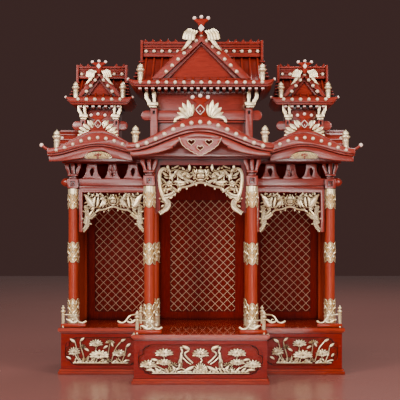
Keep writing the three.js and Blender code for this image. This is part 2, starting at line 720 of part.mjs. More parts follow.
// Crest on a gable's apex: wing leaves down both sides, a crown, a jewel and three balls
function towerCrest(tower) {
  const { gable, crown, wing } = tower;
  const [halfFoot, foot, apex] = gable;
  const edgeAt = (z) => {
    const t = (z - foot) / (apex - foot);
    return halfFoot * (1 - t) * (1 - 0.18 * t);
  };
  const y = tower.gableFront - 5;
  const low = apex - wing;
  const right = [
    [edgeAt(low) - 3, low], [edgeAt(low) + 6, low + 4], [edgeAt(low) + 3, low + 0.45 * wing],
    [edgeAt(low) - 4, low + 0.5 * wing], [edgeAt(low) - 6, low + 0.85 * wing], [14, apex - 2], [11, apex + 4],
    [13, crown - 2], [9, crown - 2],
  ];
  const inside = [[5, apex - 12], [edgeAt(low + 0.5 * wing) - 8, low + 0.4 * wing]];
  const outline = [
    ...inside.slice().reverse().map(([x, z]) => [-x, z]), ...inside, ...right,
    ...right.slice().reverse().map(([x, z]) => [-x, z]),
  ];
  return join([
    frontBoard(outline, y, tower.gableFront - gap),
    frontBoard(polygon(0, apex + 7, 6, 4, 0, 1.3), y - 3, y + 1),
    ...[-1, 0, 1].map((i) => ball(3.8, i * ballSpread, y + 2.4, crown - (i ? 1.6 : 0))),
  ]);
}

const centreTower = {
  bodyHalf: 100, bodyFront: blockFront + 146, bodyBack: blockFront + 296,
  foot: ceilingTop + gap, head: 635.5 - gap, beam: [566, 588], beamHalf: 135, postX: 106,
  eaveHalf: 159, eave: [635.5, 649], eaveFront: blockFront + 100, eaveBack: blockFront + 300,
  ridgeHalf: 136, ridge: [718, 752], gable: [106, 651, 756], gableFront: blockFront + 106,
  opening: [66, 657, 728], finialX: 134, crown: 785, wing: 42,
};

const sideTower = {
  bodyHalf: 40, bodyFront: blockFront + 207, bodyBack: blockFront + 292,
  foot: ceilingTop + 12 + gap, head: 608 - gap, beam: [551, 572], beamHalf: 64, postX: 38,
  eaveHalf: 76, eave: [608, 625], eaveFront: blockFront + 180, eaveBack: blockFront + 300,
  ridgeHalf: 55, ridge: [676, 705], gable: [50, 626, 683], gableFront: blockFront + 185,
  opening: [24, 630, 658], finialX: 52, crown: 707, wing: 30,
};

buildBase();
place(cabinet, 'centre_lotus_relief', centreRelief(), gold);
const sidePanelMiddle = ((centreHalf - panelInset - panelThickness) + (sideHalf - panelInset - 1.5)) / 2;
for (const [side, sign] of sides) {
  const relief = sideRelief();
  place(cabinet, `${side}_lotus_relief`, relief, gold, sign * sidePanelMiddle, sideFront + panelInset);
}
buildRails();
buildColumns();
buildHeads();
buildFrames();
buildWalls();
buildCentreRoof();
for (const [side, sign] of sides) {
  place(cabinet, `${side}_lower_roof`, sideLowerRoof(sign), wood, sign * gableCentre);
}
buildGableOrnaments();
place(cabinet, 'centre_tower_body', towerBody(centreTower), wood);
place(cabinet, 'centre_tower_roof', towerRoof(centreTower), wood);
place(cabinet, 'centre_tower_crest', towerCrest(centreTower), gold);
for (const [side, sign] of sides) {
  const tower = new THREE.Group();
  tower.position.x = sign * towerCentre;
  cabinet.add(tower);
  place(tower, `${side}_tower_body`, towerBody(sideTower), wood);
  place(tower, `${side}_tower_roof`, towerRoof(sideTower), wood);
  place(tower, `${side}_tower_crest`, towerCrest(sideTower), gold);
}

export default cabinet;
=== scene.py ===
import math
import random

import bmesh
import bpy
from mathutils import Matrix, Vector


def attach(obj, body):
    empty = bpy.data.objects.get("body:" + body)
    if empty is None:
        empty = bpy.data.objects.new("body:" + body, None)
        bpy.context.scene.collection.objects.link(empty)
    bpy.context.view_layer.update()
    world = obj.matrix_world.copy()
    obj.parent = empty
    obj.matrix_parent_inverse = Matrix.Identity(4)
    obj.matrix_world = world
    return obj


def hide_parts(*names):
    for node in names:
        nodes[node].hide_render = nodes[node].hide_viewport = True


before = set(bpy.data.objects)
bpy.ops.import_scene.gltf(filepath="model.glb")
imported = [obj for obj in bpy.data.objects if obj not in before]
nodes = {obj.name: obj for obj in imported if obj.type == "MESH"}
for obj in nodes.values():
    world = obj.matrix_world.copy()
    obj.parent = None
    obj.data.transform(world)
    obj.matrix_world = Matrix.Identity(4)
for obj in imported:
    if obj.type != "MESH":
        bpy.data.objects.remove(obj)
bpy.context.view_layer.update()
mm = 0.001  # every working size below is in millimetres
quarterTurn = Matrix.Rotation(math.pi / 2, 4, "Z")
sharpAngle = math.radians(40)  # a steeper edge than this is shaded as a sharp one
hands = {"left": -1, "right": 1}
print("frame loaded", len(nodes), "nodes")


# Shapes: each one is a small bmesh in millimetres, gathered into a piece at the end.

def gather(parts):
    whole = bmesh.new()
    for part in parts:
        mesh = bpy.data.meshes.new("part")
        part.to_mesh(mesh)
        part.free()
        whole.from_mesh(mesh)
        bpy.data.meshes.remove(mesh)
    return whole


def hand(way, x=0, y=0):  # a place across X and Y, seen in the mirror where way is -1
    return Matrix.Scale(way, 4, (1, 0, 0)) @ Matrix.Translation((x, y, 0))


def moved(part, matrix):
    bmesh.ops.transform(part, matrix=matrix, verts=part.verts)
    if matrix.determinant() < 0:
        bmesh.ops.reverse_faces(part, faces=part.faces)
    return part


def shifted(part, x=0, y=0, z=0):
    return moved(part, Matrix.Translation((x, y, z)))


def mirrored(part):
    return moved(part, hand(-1))


def bothSides(parts):  # a part and its mirror image across the middle
    twins = [mirrored(part.copy()) for part in parts]
    return list(parts) + twins


def twinned(line):  # half of an outline and its mirror image, where a point on the middle stays single
    return line + [(-x, z) for x, z in line[::-1] if x]


def spread(count, pitch):  # evenly spaced places about the middle
    return [(number - (count - 1) / 2) * pitch for number in range(count)]


def board(low, high, soft=0.6, segments=2):
    low, high = Vector(low), Vector(high)
    part = bmesh.new()
    size = high - low
    place = Matrix.Translation((low + high) / 2) @ Matrix.Diagonal((*size, 1))
    bmesh.ops.create_cube(part, size=1, matrix=place)
    if soft:
        bmesh.ops.bevel(part, geom=part.edges[:], offset=min(soft, min(size) * 0.45), segments=segments,
                        profile=0.5, affect="EDGES", material=-1)
    return part


def plate(outline, front, back, holes=(), soft=0.5):
    # an outline in X and Z, cut out and given its thickness from front to back in Y
    part = bmesh.new()
    for loop in (outline, *holes):
        corners = [part.verts.new((x, back, z)) for x, z in loop]
        for first, second in zip(corners, corners[1:] + corners[:1]):
            part.edges.new((first, second))
    if holes:
        bmesh.ops.triangle_fill(part, use_beauty=True, use_dissolve=False, edges=part.edges[:])
    else:
        bmesh.ops.contextual_create(part, geom=part.edges[:])
    bmesh.ops.recalc_face_normals(part, faces=part.faces)
    raised = bmesh.ops.extrude_face_region(part, geom=part.faces[:], use_keep_orig=True)["geom"]
    cap = [item for item in raised if isinstance(item, bmesh.types.BMVert)]
    bmesh.ops.translate(part, verts=cap, vec=(0, front - back, 0))
    bmesh.ops.recalc_face_normals(part, faces=part.faces)
    if soft:
        lip = [edge for edge in part.edges if edge.calc_face_angle(0) > 0.6
               and all(abs(vert.co.y - front) < 0.01 for vert in edge.verts)]
        bmesh.ops.bevel(part, geom=lip, offset=soft, segments=2, profile=0.5, affect="EDGES",
                        clamp_overlap=True, material=-1)
    return part


def turned(profile, x=0, y=0, z=0, steps=28):
    # radius and height pairs, spun round the upright axis
    part = bmesh.new()
    chain = [part.verts.new((radius, 0, height)) for radius, height in profile]
    for first, second in zip(chain, chain[1:]):
        part.edges.new((first, second))
    bmesh.ops.spin(part, geom=part.verts[:] + part.edges[:], cent=(0, 0, 0), axis=(0, 0, 1), steps=steps,
                   angle=2 * math.pi, use_merge=True)
    bmesh.ops.remove_doubles(part, verts=part.verts, dist=0.001)
    openings = [edge for edge in part.edges if edge.is_boundary]
    if openings:
        bmesh.ops.holes_fill(part, edges=openings, sides=0)
    bmesh.ops.recalc_face_normals(part, faces=part.faces)
    return shifted(part, x, y, z)


def ball(x, y, z, radius, tall=1.0, deep=1.0, steps=12):
    part = bmesh.new()
    bmesh.ops.create_uvsphere(part, u_segments=steps, v_segments=max(6, steps * 2 // 3), radius=radius)
    return moved(part, Matrix.Translation((x, y, z)) @ Matrix.Diagonal((1, deep, tall, 1)))


def blade(path, widths, heights, sides=8, face=(0, -1, 0)):
    # rounded section along a path: width lies across the path, height stands towards face
    # width and height are one number each, or a list with one for every point
    part = bmesh.new()
    facing = face if callable(face) else lambda point: Vector(face)
    widths, heights = (size if isinstance(size, list) else [size] * len(path) for size in (widths, heights))
    path = [Vector(point) for point in path]
    last = len(path) - 1
    loops = []
    for index, point in enumerate(path):
        ahead = (path[min(index + 1, last)] - path[max(index - 1, 0)]).normalized()
        across = facing(point).cross(ahead)
        across = across.normalized() if across.length > 1e-6 else Vector((1, 0, 0))
        up = ahead.cross(across)
        width = max(widths[index], 0.12) / 2
        height = max(heights[index], 0.12) / 2
        turn = Matrix((across * width, up * height, ahead)).transposed().to_4x4()
        ring = bmesh.ops.create_circle(part, segments=sides, radius=1, cap_ends=index in (0, last),
                                       matrix=Matrix.Translation(point) @ turn)["verts"]
        edges = {edge for vert in ring for edge in vert.link_edges}
        if loops:
            bmesh.ops.bridge_loops(part, edges=list(loops[-1] | edges))
        loops.append(edges)
    bmesh.ops.recalc_face_normals(part, faces=part.faces)
    return part


def curl(x, z, heading, length, turn, steps, y):
    # a path in X and Z that starts at a heading in degrees and turns as it goes
    points = [Vector((x, y, z))]
    for index in range(steps):
        share = (index + 0.5) / steps
        angle = math.radians(heading + turn * share)
        stride = length / steps
        points.append(points[-1] + Vector((math.cos(angle) * stride, 0, math.sin(angle) * stride)))
    return points


def swell(count, most, start=0.1, end=0.05, peak=0.5):
    # a leaf's width along its length: narrow, full, narrow
    sizes = []
    for index in range(count):
        share = index / (count - 1)
        reach = share / peak if share < peak else (1 - share) / (1 - peak)
        foot = start if share < peak else end
        sizes.append(most * (foot + (1 - foot) * math.sin(min(reach, 1) * math.pi / 2) ** 0.8))
    return sizes


def leaf(x, z, heading, length, width, y=0.0, turn=0.0, thick=None, peak=0.45, steps=7, end=0.05, sides=8):
    path = curl(x, z, heading, length, turn, steps, y)
    thick = width * 0.6 if thick is None else thick
    return blade(path, swell(steps + 1, width, 0.15, end, peak),
                 swell(steps + 1, thick, 0.35, end + 0.2, peak), sides)


def stem(points, width, taper=0.7, sides=6):
    count = len(points)
    widths = [width * (1 + (taper - 1) * index / (count - 1)) for index in range(count)]
    return blade(points, widths, widths, sides)


def makePiece(name, parts, finish, replaced=(), place=None):
    whole = gather(parts)
    if place:
        moved(whole, place)
    bmesh.ops.scale(whole, vec=(mm, mm, mm), verts=whole.verts)
    mesh = bpy.data.meshes.new(name)
    whole.to_mesh(mesh)
    whole.free()
    mesh.shade_smooth()
    mesh.set_sharp_from_angle(angle=sharpAngle)
    mesh.materials.append(finish)
    piece = bpy.data.objects.new(name, mesh)
    bpy.context.scene.collection.objects.link(piece)
    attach(piece, "root")
    if replaced:
        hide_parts(*replaced)


# Finishes: lacquered wood, cast gold and pearl, all procedural.

class Level:  # wraps a socket, so that sums on it add Math nodes
    def __init__(self, finish, socket):
        self.finish, self.socket = finish, socket

    def maths(self, operation, first, second):
        return self.finish.add("ShaderNodeMath", {"operation": operation}, {0: first, 1: second})

    def __add__(self, other):
        return self.maths("ADD", self, other)

    def __mul__(self, other):
        return self.maths("MULTIPLY", self, other)


class Finish:
    def __init__(self, name, **constants):
        self.material = bpy.data.materials.new(name)
        self.material.use_nodes = True
        self.tree = self.material.node_tree
        self.shader = self.tree.nodes["Principled BSDF"]
        for socket, value in constants.items():
            self.shader.inputs[socket.replace("_", " ")].default_value = value
        self.place = self.add("ShaderNodeTexCoord", {}, {}, "Object")

    def add(self, kind, settings, values, output=0):
        node = self.tree.nodes.new(kind)
        stops = settings.pop("stops", None)
        for key, value in settings.items():
            setattr(node, key, value)
        if stops:
            for position, tint in stops[1:-1]:
                node.color_ramp.elements.new(position)
            for element, (position, tint) in zip(node.color_ramp.elements, stops):
                element.position, element.color = position, (*tint, 1)
        for key, value in values.items():
            if isinstance(value, Level):
                self.tree.links.new(value.socket, node.inputs[key])
            else:
                node.inputs[key].default_value = value
        return Level(self, node.outputs[output])

    def noise(self, stretch, scale, detail=4.0, roughness=0.55, distortion=0.0):
        spot = self.add("ShaderNodeMapping", {}, {"Vector": self.place, "Scale": stretch})
        return self.add("ShaderNodeTexNoise", {}, {"Vector": spot, "Scale": scale, "Detail": detail,
                                                   "Roughness": roughness, "Distortion": distortion})

    def ramp(self, factor, stops):
        return self.add("ShaderNodeValToRGB", {"stops": stops}, {0: factor})

    def mix(self, factor, first, second, blend="MIX"):
        return self.add("ShaderNodeMix", {"data_type": "RGBA", "blend_type": blend},
                        {0: factor, 6: first, 7: second}, 2)

    def link(self, **feeds):
        for socket, level in feeds.items():
            self.tree.links.new(level.socket, self.shader.inputs[socket.replace("_", " ")])

    def bump(self, height, strength, distance=0.0004):
        self.link(Normal=self.add("ShaderNodeBump", {}, {"Height": height, "Strength": strength,
                                                         "Distance": distance}))


def tint(red, green, blue):  # a colour as seen on screen, made linear
    return tuple((part / 255) ** 2.2 for part in (red, green, blue))


def lacqueredWood(name, deep, mid, bright, stretch, gloss=0.2, coat=0.9, coatBend=1.6, haze=0.15):
    finish = Finish(name, Coat_Weight=coat, Coat_Roughness=haze, Coat_IOR=coatBend, Specular_IOR_Level=0.06)
    figure = finish.noise(stretch, 9.0, 5.0, 0.6, 1.4)
    pores = finish.noise([part * 5 for part in stretch], 16.0, 3.0, 0.7)
    drift = finish.noise((1, 1, 1), 7.0, 2.0)
    colour = finish.ramp(figure * 0.75 + pores * 0.25, [(0.3, deep), (0.5, mid), (0.72, bright)])
    colour = finish.mix(drift * 0.5, colour, (*mid, 1))
    # painted shade: the colour is pulled towards a near-black red in recesses, corners and under parts, where
    # shade falls
    hollow = finish.add("ShaderNodeAmbientOcclusion", {"samples": 5}, {"Distance": 0.012}, "AO")
    depth = finish.ramp(hollow, [(0.35, (0, 0, 0)), (0.85, (1, 1, 1))])
    colour = finish.mix(depth, (*[part * 0.16 for part in deep], 1), colour)
    finish.link(Base_Color=colour, Roughness=drift * 0.22 + gloss)
    finish.bump(pores * 0.5 + figure * 0.5, 0.08)
    return finish.material


def castFitting(name, shade, body, light, metal=0.75, rough=0.26):
    finish = Finish(name, Metallic=metal, Coat_Weight=0.25, Coat_Roughness=0.15)
    patina = finish.noise((1, 1, 1), 55.0, 4.0, 0.6)
    sand = finish.noise((1, 1, 1), 1400.0, 2.0, 0.6)
    # painted shade: the shade colour is mixed in wherever the surface lies in a recess or crease
    hollow = finish.add("ShaderNodeAmbientOcclusion", {"samples": 6}, {"Distance": 0.006}, "AO")
    worn = finish.ramp(patina, [(0.3, body), (0.55, light), (0.75, body)])
    depth = finish.ramp(hollow, [(0.4, (0, 0, 0)), (0.92, (1, 1, 1))])
    colour = finish.mix(depth, (*shade, 1), worn)
    finish.link(Base_Color=colour, Roughness=patina * 0.3 + rough)
    finish.bump(sand, 0.06, 0.0002)
    return finish.material


woodTones = {"deep": tint(78, 8, 2), "mid": tint(114, 20, 6), "bright": tint(140, 34, 14)}
warmTones = {"deep": tint(104, 18, 7), "mid": tint(144, 42, 20), "bright": tint(168, 62, 32)}
# lighter, pinker tones: partly the wood's own tone, partly a painted sheen standing in for the lacquer's
# broad pink reflection
woodAndSheenTones = {"deep": tint(92, 20, 11), "mid": tint(128, 38, 25), "bright": tint(152, 54, 38)}
# lighter tones for the columns and side walls: a painted highlight standing in for the broad soft highlight
# on the round shafts
columnTones = {"deep": tint(112, 30, 17), "mid": tint(152, 54, 34), "bright": tint(172, 70, 46)}
# near-black tones: painted shade for the inside of the panels' cusped groove
grooveShadeTones = {"deep": tint(26, 3, 1), "mid": tint(40, 6, 3), "bright": tint(56, 10, 5)}
# darker tones: painted shade on the tower slope beds between the ribs, the gables' inner strip and infill and
# the rafters under the eaves; the crest diamond's own dark colour
darkAndShadeTones = {"deep": tint(68, 14, 8), "mid": tint(102, 30, 20), "bright": tint(124, 42, 30)}
lengthwise, upright, inward = (3, 26, 26), (26, 26, 3), (26, 3, 26)
rosewood = lacqueredWood("rosewoodAlong", *woodTones.values(), lengthwise)
rosewoodUpright = lacqueredWood("rosewoodUpright", *columnTones.values(), upright, 0.32, 0.4, 1.5, 0.3)
satinSheenWood = lacqueredWood("satinSheenRosewood", *woodAndSheenTones.values(), lengthwise, 0.3, 0.9, 1.6, 0.25)
edgeWood = lacqueredWood("edgeRosewood", *warmTones.values(), lengthwise, 0.3, 0.4, 1.45, 0.2)
deckWood = lacqueredWood("deckRosewood", *warmTones.values(), lengthwise, 0.3, 0.9, 1.5, 0.06)
grooveShadeWood = lacqueredWood("grooveShadeRosewood", *grooveShadeTones.values(), lengthwise, 0.4, 0.1, 1.4)
roofWood = lacqueredWood("roofRosewood", *woodAndSheenTones.values(), lengthwise, 0.3, 0.35, 1.5, 0.28)
pedimentWood = lacqueredWood("pedimentRosewood", *woodAndSheenTones.values(), lengthwise, 0.3, 0.05, 1.4)
panelWood = lacqueredWood("panelRosewood", *woodTones.values(), lengthwise, 0.3, 0.3, 1.4)
innerWood = lacqueredWood("innerRosewood", *woodTones.values(), upright, 0.4, 0.0, 1.4)
rosewoodInward = lacqueredWood("rosewoodInward", *woodTones.values(), inward)
darkAndShadeWood = lacqueredWood("darkAndShadeRosewood", *darkAndShadeTones.values(), lengthwise, 0.3, 0.35, 1.45, 0.2)
# the first colour of each cast finish is the painted shade its recesses are darkened to
castGold = castFitting("castPaleGold", tint(60, 30, 8), tint(246, 210, 148), tint(255, 240, 198), 0.65, 0.18)
brightGold = castFitting("brightGold", tint(96, 56, 20), tint(250, 218, 156), tint(255, 242, 202), 0.65, 0.16)
shadeGold = castFitting("shadeGold", tint(66, 36, 12), tint(178, 136, 80), tint(210, 170, 110), 0.75, 0.3)
wireGold = castFitting("wireGold", tint(230, 150, 104), tint(255, 212, 166), tint(255, 228, 190), 0.0, 0.3)
pearl = castFitting("pearlStuds", tint(150, 76, 60), tint(246, 200, 182), tint(255, 230, 216), 0.0, 0.12)
print("finishes ready")


# Camera, floor and light.

camera = {"place": (0.030, -1.895, 0.321), "lens": 76.05, "shift": (-0.0375, 0.075)}
cameraData = bpy.data.cameras.new("camera")
cameraData.lens, cameraData.shift_x, cameraData.shift_y = camera["lens"], *camera["shift"]
cameraObject = bpy.data.objects.new("camera", cameraData)
cameraObject.location = camera["place"]
cameraObject.rotation_euler = (math.pi / 2, 0, 0)
bpy.context.scene.collection.objects.link(cameraObject)
bpy.context.scene.camera = cameraObject

studio = {
    "floor": (0.24, 0.085, 0.07), "backdrop": (0.050, 0.026, 0.024), "surroundings": (0.115, 0.088, 0.084),
    "lamps": (  # place, aim, width, height, watts, colour
        ((-1.4, -1.5, 1.2), (0, 0, 0.35), 0.6, 1.1, 40, (1.0, 0.95, 0.89)),
        ((1.5, -1.4, 1.1), (0, 0, 0.35), 0.5, 1.1, 32, (1.0, 0.94, 0.87)),
        ((0.0, -0.6, 2.1), (0, 0, 0.5), 1.6, 0.6, 20, (1.0, 0.97, 0.95)),
        ((-0.6, -3.3, 1.0), (-0.1, 0, 0.5), 1.8, 1.0, 36, (1.0, 0.92, 0.91)),
        ((0.8, 1.9, 2.3), (0, 0.1, 0.45), 1.0, 1.0, 34, (1.0, 0.96, 0.93)),
        ((0.1, -2.9, 0.16), (0, 0, 0.25), 0.9, 0.2, 17, (1.0, 0.94, 0.88)),
    ),
}


def makeStudio(setup):
    floor = bmesh.new()
    bmesh.ops.create_grid(floor, x_segments=1, y_segments=1, size=4)
    mesh = bpy.data.meshes.new("floor")
    floor.to_mesh(mesh)
    floor.free()
    ground = bpy.data.objects.new("floor", mesh)
    finish = Finish("warmFloor", Specular_IOR_Level=0.5)
    mottle = finish.noise((1, 1, 1), 5.0, 3.0)
    shade = setup["floor"]
    finish.link(Base_Color=finish.mix(mottle, (*shade, 1), (*[part * 0.94 for part in shade], 1)),
                Roughness=mottle * 0.08 + 0.22)
    mesh.materials.append(finish.material)
    bpy.context.scene.collection.objects.link(ground)
    world = bpy.data.worlds.new("studio")
    world.use_nodes = True
    air = world.node_tree
    seen, lighting = air.nodes["Background"], air.nodes.new("ShaderNodeBackground")
    seen.inputs[0].default_value = (*setup["backdrop"], 1)
    lighting.inputs[0].default_value = (*setup["surroundings"], 1)
    blend = air.nodes.new("ShaderNodeMixShader")
    air.links.new(air.nodes.new("ShaderNodeLightPath").outputs["Is Camera Ray"], blend.inputs[0])
    air.links.new(lighting.outputs[0], blend.inputs[1])
    air.links.new(seen.outputs[0], blend.inputs[2])
    air.links.new(blend.outputs[0], air.nodes["World Output"].inputs["Surface"])
    bpy.context.scene.world = world
    for place, aim, width, height, watts, colour in setup["lamps"]:
        lamp = bpy.data.lights.new("softbox", "AREA")
        lamp.shape, lamp.size, lamp.size_y = "RECTANGLE", width, height
        lamp.energy, lamp.color = watts, colour
        holder = bpy.data.objects.new("softbox", lamp)
        holder.location = place
        holder.rotation_euler = (Vector(aim) - Vector(place)).to_track_quat("-Z", "Y").to_euler()
        bpy.context.scene.collection.objects.link(holder)


makeStudio(studio)
print("studio ready")


# Boards that keep their CAD shape: a softened edge and a wood finish.

keptBoards = {
    "plinth": edgeWood, "deck": deckWood, "centre_front_panel": panelWood, "base_back_panel": rosewood,
    "back_wall": innerWood, "ceiling": panelWood, "centre_lintel_frame": panelWood,
    "left_front_panel": panelWood, "right_front_panel": panelWood, "left_return_panel": rosewoodInward,
    "right_return_panel": rosewoodInward, "left_end_panel": rosewoodInward, "right_end_panel": rosewoodInward,
    "left_side_wall": rosewoodUpright, "right_side_wall": rosewoodUpright, "left_partition": innerWood,
    "right_partition": innerWood,
}
broadEdges, fineEdge = {"deck": 2.6, "plinth": 2.0}, 0.7
bevelAngle = 0.7  # only edges that turn by more than this many radians are softened


def dressBoard(node, finish, edge):
    board = nodes[node]
    board.data.materials.clear()
    board.data.materials.append(finish)
    rounding = board.modifiers.new("softEdges", "BEVEL")
    rounding.width, rounding.segments = edge * mm, 2
    rounding.limit_method, rounding.angle_limit = "ANGLE", bevelAngle


for node, finish in keptBoards.items():
    dressBoard(node, finish, broadEdges.get(node, fineEdge))
print("boards dressed")

sideLintel = {"x": (120.5, 275.7), "y": (-1, 9), "foot": 316, "under": 405, "top": 419, "leg": 9,
              "rail": (1.5, 4.5)}  # how far the top rail stands forward, and its height


def makeSideLintels():
    low, high = sideLintel["x"]
    front, back = sideLintel["y"]
    forward, tall = sideLintel["rail"]
    under, top, leg, foot = sideLintel["under"], sideLintel["top"], sideLintel["leg"], sideLintel["foot"]
    outline = [(low, foot), (low + leg, foot), (low + leg, under), (high - leg, under), (high - leg, foot),
               (high, foot), (high, top), (low, top)]
    for side, way in hands.items():
        parts = [plate(outline, front, back, soft=1.4),
                 board((low, front - forward, top - tall), (high, back, top), 1.2)]
        makePiece(f"{side}_lintel", parts, satinSheenWood, [f"{side}_lintel_frame"], hand(way))


makeSideLintels()

# Columns with their cast sleeves.

column = {
    "radius": 11, "foot": 105, "sleeve": 12.1, "lobes": 5, "diamond": 20, "steps": 60, "flutes": 20,
    "shoe": [(0, 104.2), (13.6, 104.2), (13.8, 105.6), (13.3, 107), (12.4, 108.4), (12.2, 114), (12.4, 124),
             (13.0, 126), (13.9, 127.6), (13.2, 129.2), (12.3, 130.6), (12.2, 133), (0, 133)],
    "bands": ((133.5, 158, 0, 9), (257, 285, 9, 9), (377, 413, 9, 0, 12)),  # foot, middle and head
    "places": {"front_column": (108, -115, 413.8, True), "rear_column": (108, 20, 479.2, False),
               "outer_column": (288, 5, 413.8, True)},
}


def tongue(angle, lobes):
    share = ((angle + math.pi / 2) * lobes / (2 * math.pi) + 0.5) % 1 - 0.5
    return max(0.0, 1 - (abs(share) * 2) ** 2.0) ** 0.7


def sleeveBand(low, high, outer, lobeLow, lobeHigh):
    part = bmesh.new()
    loops = []
    inner = column["radius"] - 0.2
    for radius, height, lobe in ((inner, low, -lobeLow), (outer, low, -lobeLow), (outer, high, lobeHigh),
                                 (inner, high, lobeHigh)):
        ring = bmesh.ops.create_circle(part, segments=column["steps"], radius=radius,
                                       matrix=Matrix.Translation((0, 0, height)))["verts"]
        for vert in ring:
            vert.co.z += lobe * tongue(math.atan2(vert.co.y, vert.co.x), column["lobes"])
        loops.append([edge for edge in part.edges if all(vert in ring for vert in edge.verts)])
        if len(loops) > 1:
            bmesh.ops.bridge_loops(part, edges=loops[-2] + loops[-1])
    bmesh.ops.recalc_face_normals(part, faces=part.faces)
    return part


def outward(point):
    return Vector((point.x, point.y, 0)).normalized()


def aroundPoint(angle, radius, height):
    return Vector((math.cos(angle) * radius, math.sin(angle) * radius, height))


def sleeve(low, high, lobeLow, lobeHigh, plain=0):
    # tongues hang below and stand above; a plain collar takes the place of the upper ones
    radius, lobes, steps = column["sleeve"], column["lobes"], column["steps"]
    top, upper = high - plain, 0 if plain else lobeHigh
    ground = sleeveBand(low, top, radius, lobeLow, upper)
    parts = [sleeveBand(top, high, radius + 0.3, 0, 0)] if plain else []
    for height, lobe in ((low, -lobeLow), (top, upper)):  # beads along both ends
        path = [aroundPoint(step * math.tau / steps, radius + 0.15,
                            height + lobe * tongue(step * math.tau / steps, lobes) * 0.97)
                for step in range(steps + 1)]
        parts.append(blade(path, 1.5, 1.3, 5, outward))
    row = column["diamond"] / 2
    twist = math.pi / lobes / row
    rise = int((top - low) // 4) + 1
    middle = (low + top) / 2
    for start in range(lobes):
        centre = -math.pi / 2 + start * math.tau / lobes
        for way in (1, -1):
            path = [aroundPoint(centre + way * twist * (top - low) * step / rise, radius,
                                low + (top - low) * step / rise) for step in range(rise + 1)]
            parts.append(blade(path, 2.1, 2.0, 5, outward))
        height = middle - row * math.floor((middle - low) / row)
        number = 0
        while height <= top + 0.1:  # a boss in every diamond
            angle = centre + (number % 2 + 1) * math.pi / lobes
            parts.append(ball(*aroundPoint(angle, radius + 0.1, height), 1.7, 1.7, 1.0, 8))
            height += row
            number += 1
        for height, lobe in ((low, -lobeLow), (high, upper)):
            if lobe:  # a raised rib down the middle of every tongue
                path = [aroundPoint(centre, radius + 0.1, height + lobe * share)
                        for share in (-0.2, 0.3, 0.75)]
                parts.append(blade(path, [3.6, 3.0, 0.8], [1.4, 1.4, 0.8], 6, outward))
    return parts, ground


def columnFittings(headed):
    parts, grounds = [turned(column["shoe"], steps=36)], []
    for flute in range(column["flutes"]):
        angle = (flute + 0.5) * math.tau / column["flutes"]
        path = [aroundPoint(angle, 12.2, height) for height in (108.4, 112, 118, 124.6)]
        parts.append(blade(path, [1.5, 2.1, 2.2, 1.6], [0.8, 1.5, 1.6, 1.0], 5, outward))
    for band in column["bands"] if headed else column["bands"][:2]:
        raised, ground = sleeve(*band)
        parts += raised
        grounds.append(ground)
    return parts, grounds


def makeColumns():
    for side, way in hands.items():
        for name, (x, y, top, headed) in column["places"].items():
            place = Matrix.Translation((x * way, y, 0))
            radius, foot = column["radius"], column["foot"]
            shaft = turned([(0, foot), (radius, foot), (radius, top), (0, top)], steps=48)
            raised, grounds = columnFittings(headed)
            makePiece(f"{side}_{name}_shaft", [shaft], rosewoodUpright, [f"{side}_{name}"], place)
            makePiece(f"{side}_{name}_sleeves", raised, brightGold, (), place)
            makePiece(f"{side}_{name}_sleeve_grounds", grounds, shadeGold, (), place)


makeColumns()
print("columns ready")


# Corner rails on the deck.

rail = {
    "sweep": [(1, 132), (8, 132.6), (15, 132.4), (22, 131.0), (27.5, 127.0), (31.0, 121.5), (35.0, 116.6),
              (40.5, 114.4), (46, 114.9), (50, 117.2)],
    "post": [(0, 104.3), (4.4, 104.3), (4.4, 107), (3.1, 108.4), (3.0, 131), (3.6, 132.5), (4.2, 134),
             (3.2, 135.4), (2.2, 136.2), (4.6, 138.0), (5.2, 140), (4.0, 142.2), (2.0, 143.6), (1.8, 144.4),
             (3.9, 146), (4.2, 147.8), (2.8, 149.6), (1.2, 150.6), (0.9, 152.2), (0, 154)],
    "scrolls": (([(32, 121), (29, 117.0), (24, 114.9), (18, 115.4), (12, 118.6)], 4.6),
                ([(24, 115.2), (18, 117.6), (13, 120.0), (7, 122.4)], 5.4),
                ([(22, 116), (20, 119.5), (23, 122.2), (26.5, 121.4)], 2.4)),
    "flutes": 8, "curb": (51, 8, 113), "foot": 104.3,
    "places": {"centre": (132, -136, -1, -5), "inner": (135, -14, 1, -4.5), "outer": (308, -14, -1, -4.5)},
}


def smoothPath(points, steps=4, y=0.0):
    # a soft curve through the points, laid at this depth
    knots = [Vector((x, 0, z)) for x, z in points]
    knots = [knots[0] * 2 - knots[1]] + knots + [knots[-1] * 2 - knots[-2]]
    path = []
    for before, first, second, after in zip(knots, knots[1:], knots[2:], knots[3:]):
        for step in range(steps):
            t = step / steps
            path.append(0.5 * (2 * first + (second - before) * t
                               + (2 * before - 5 * first + 4 * second - after) * t ** 2
                               + (3 * first - before - 3 * second + after) * t ** 3))
    return [point + Vector((0, y, 0)) for point in path + [knots[-2]]]


def railParts():
    sweep = smoothPath(rail["sweep"], 3)
    count = len(sweep)
    body = blade(sweep, [3.0 + 1.9 * (index / count) ** 2 for index in range(count)], 3.4)
    parts = [body, ball(50.2, 0, 117.6, 2.6, 0.9, 0.8)]
    for points, width in rail["scrolls"]:
        path = smoothPath(points, 3)
        parts.append(blade(path, swell(len(path), width, 0.4, 0.15, 0.6),
                           swell(len(path), 3.0, 0.4, 0.3, 0.6)))
    parts.append(turned(rail["post"], steps=24))
    for flute in range(rail["flutes"]):
        angle = flute * math.tau / rail["flutes"]
        parts.append(blade([aroundPoint(angle, 3.0, height) for height in (109, 120, 131)], 1.3, 0.9, 5,
                           outward))
    return parts


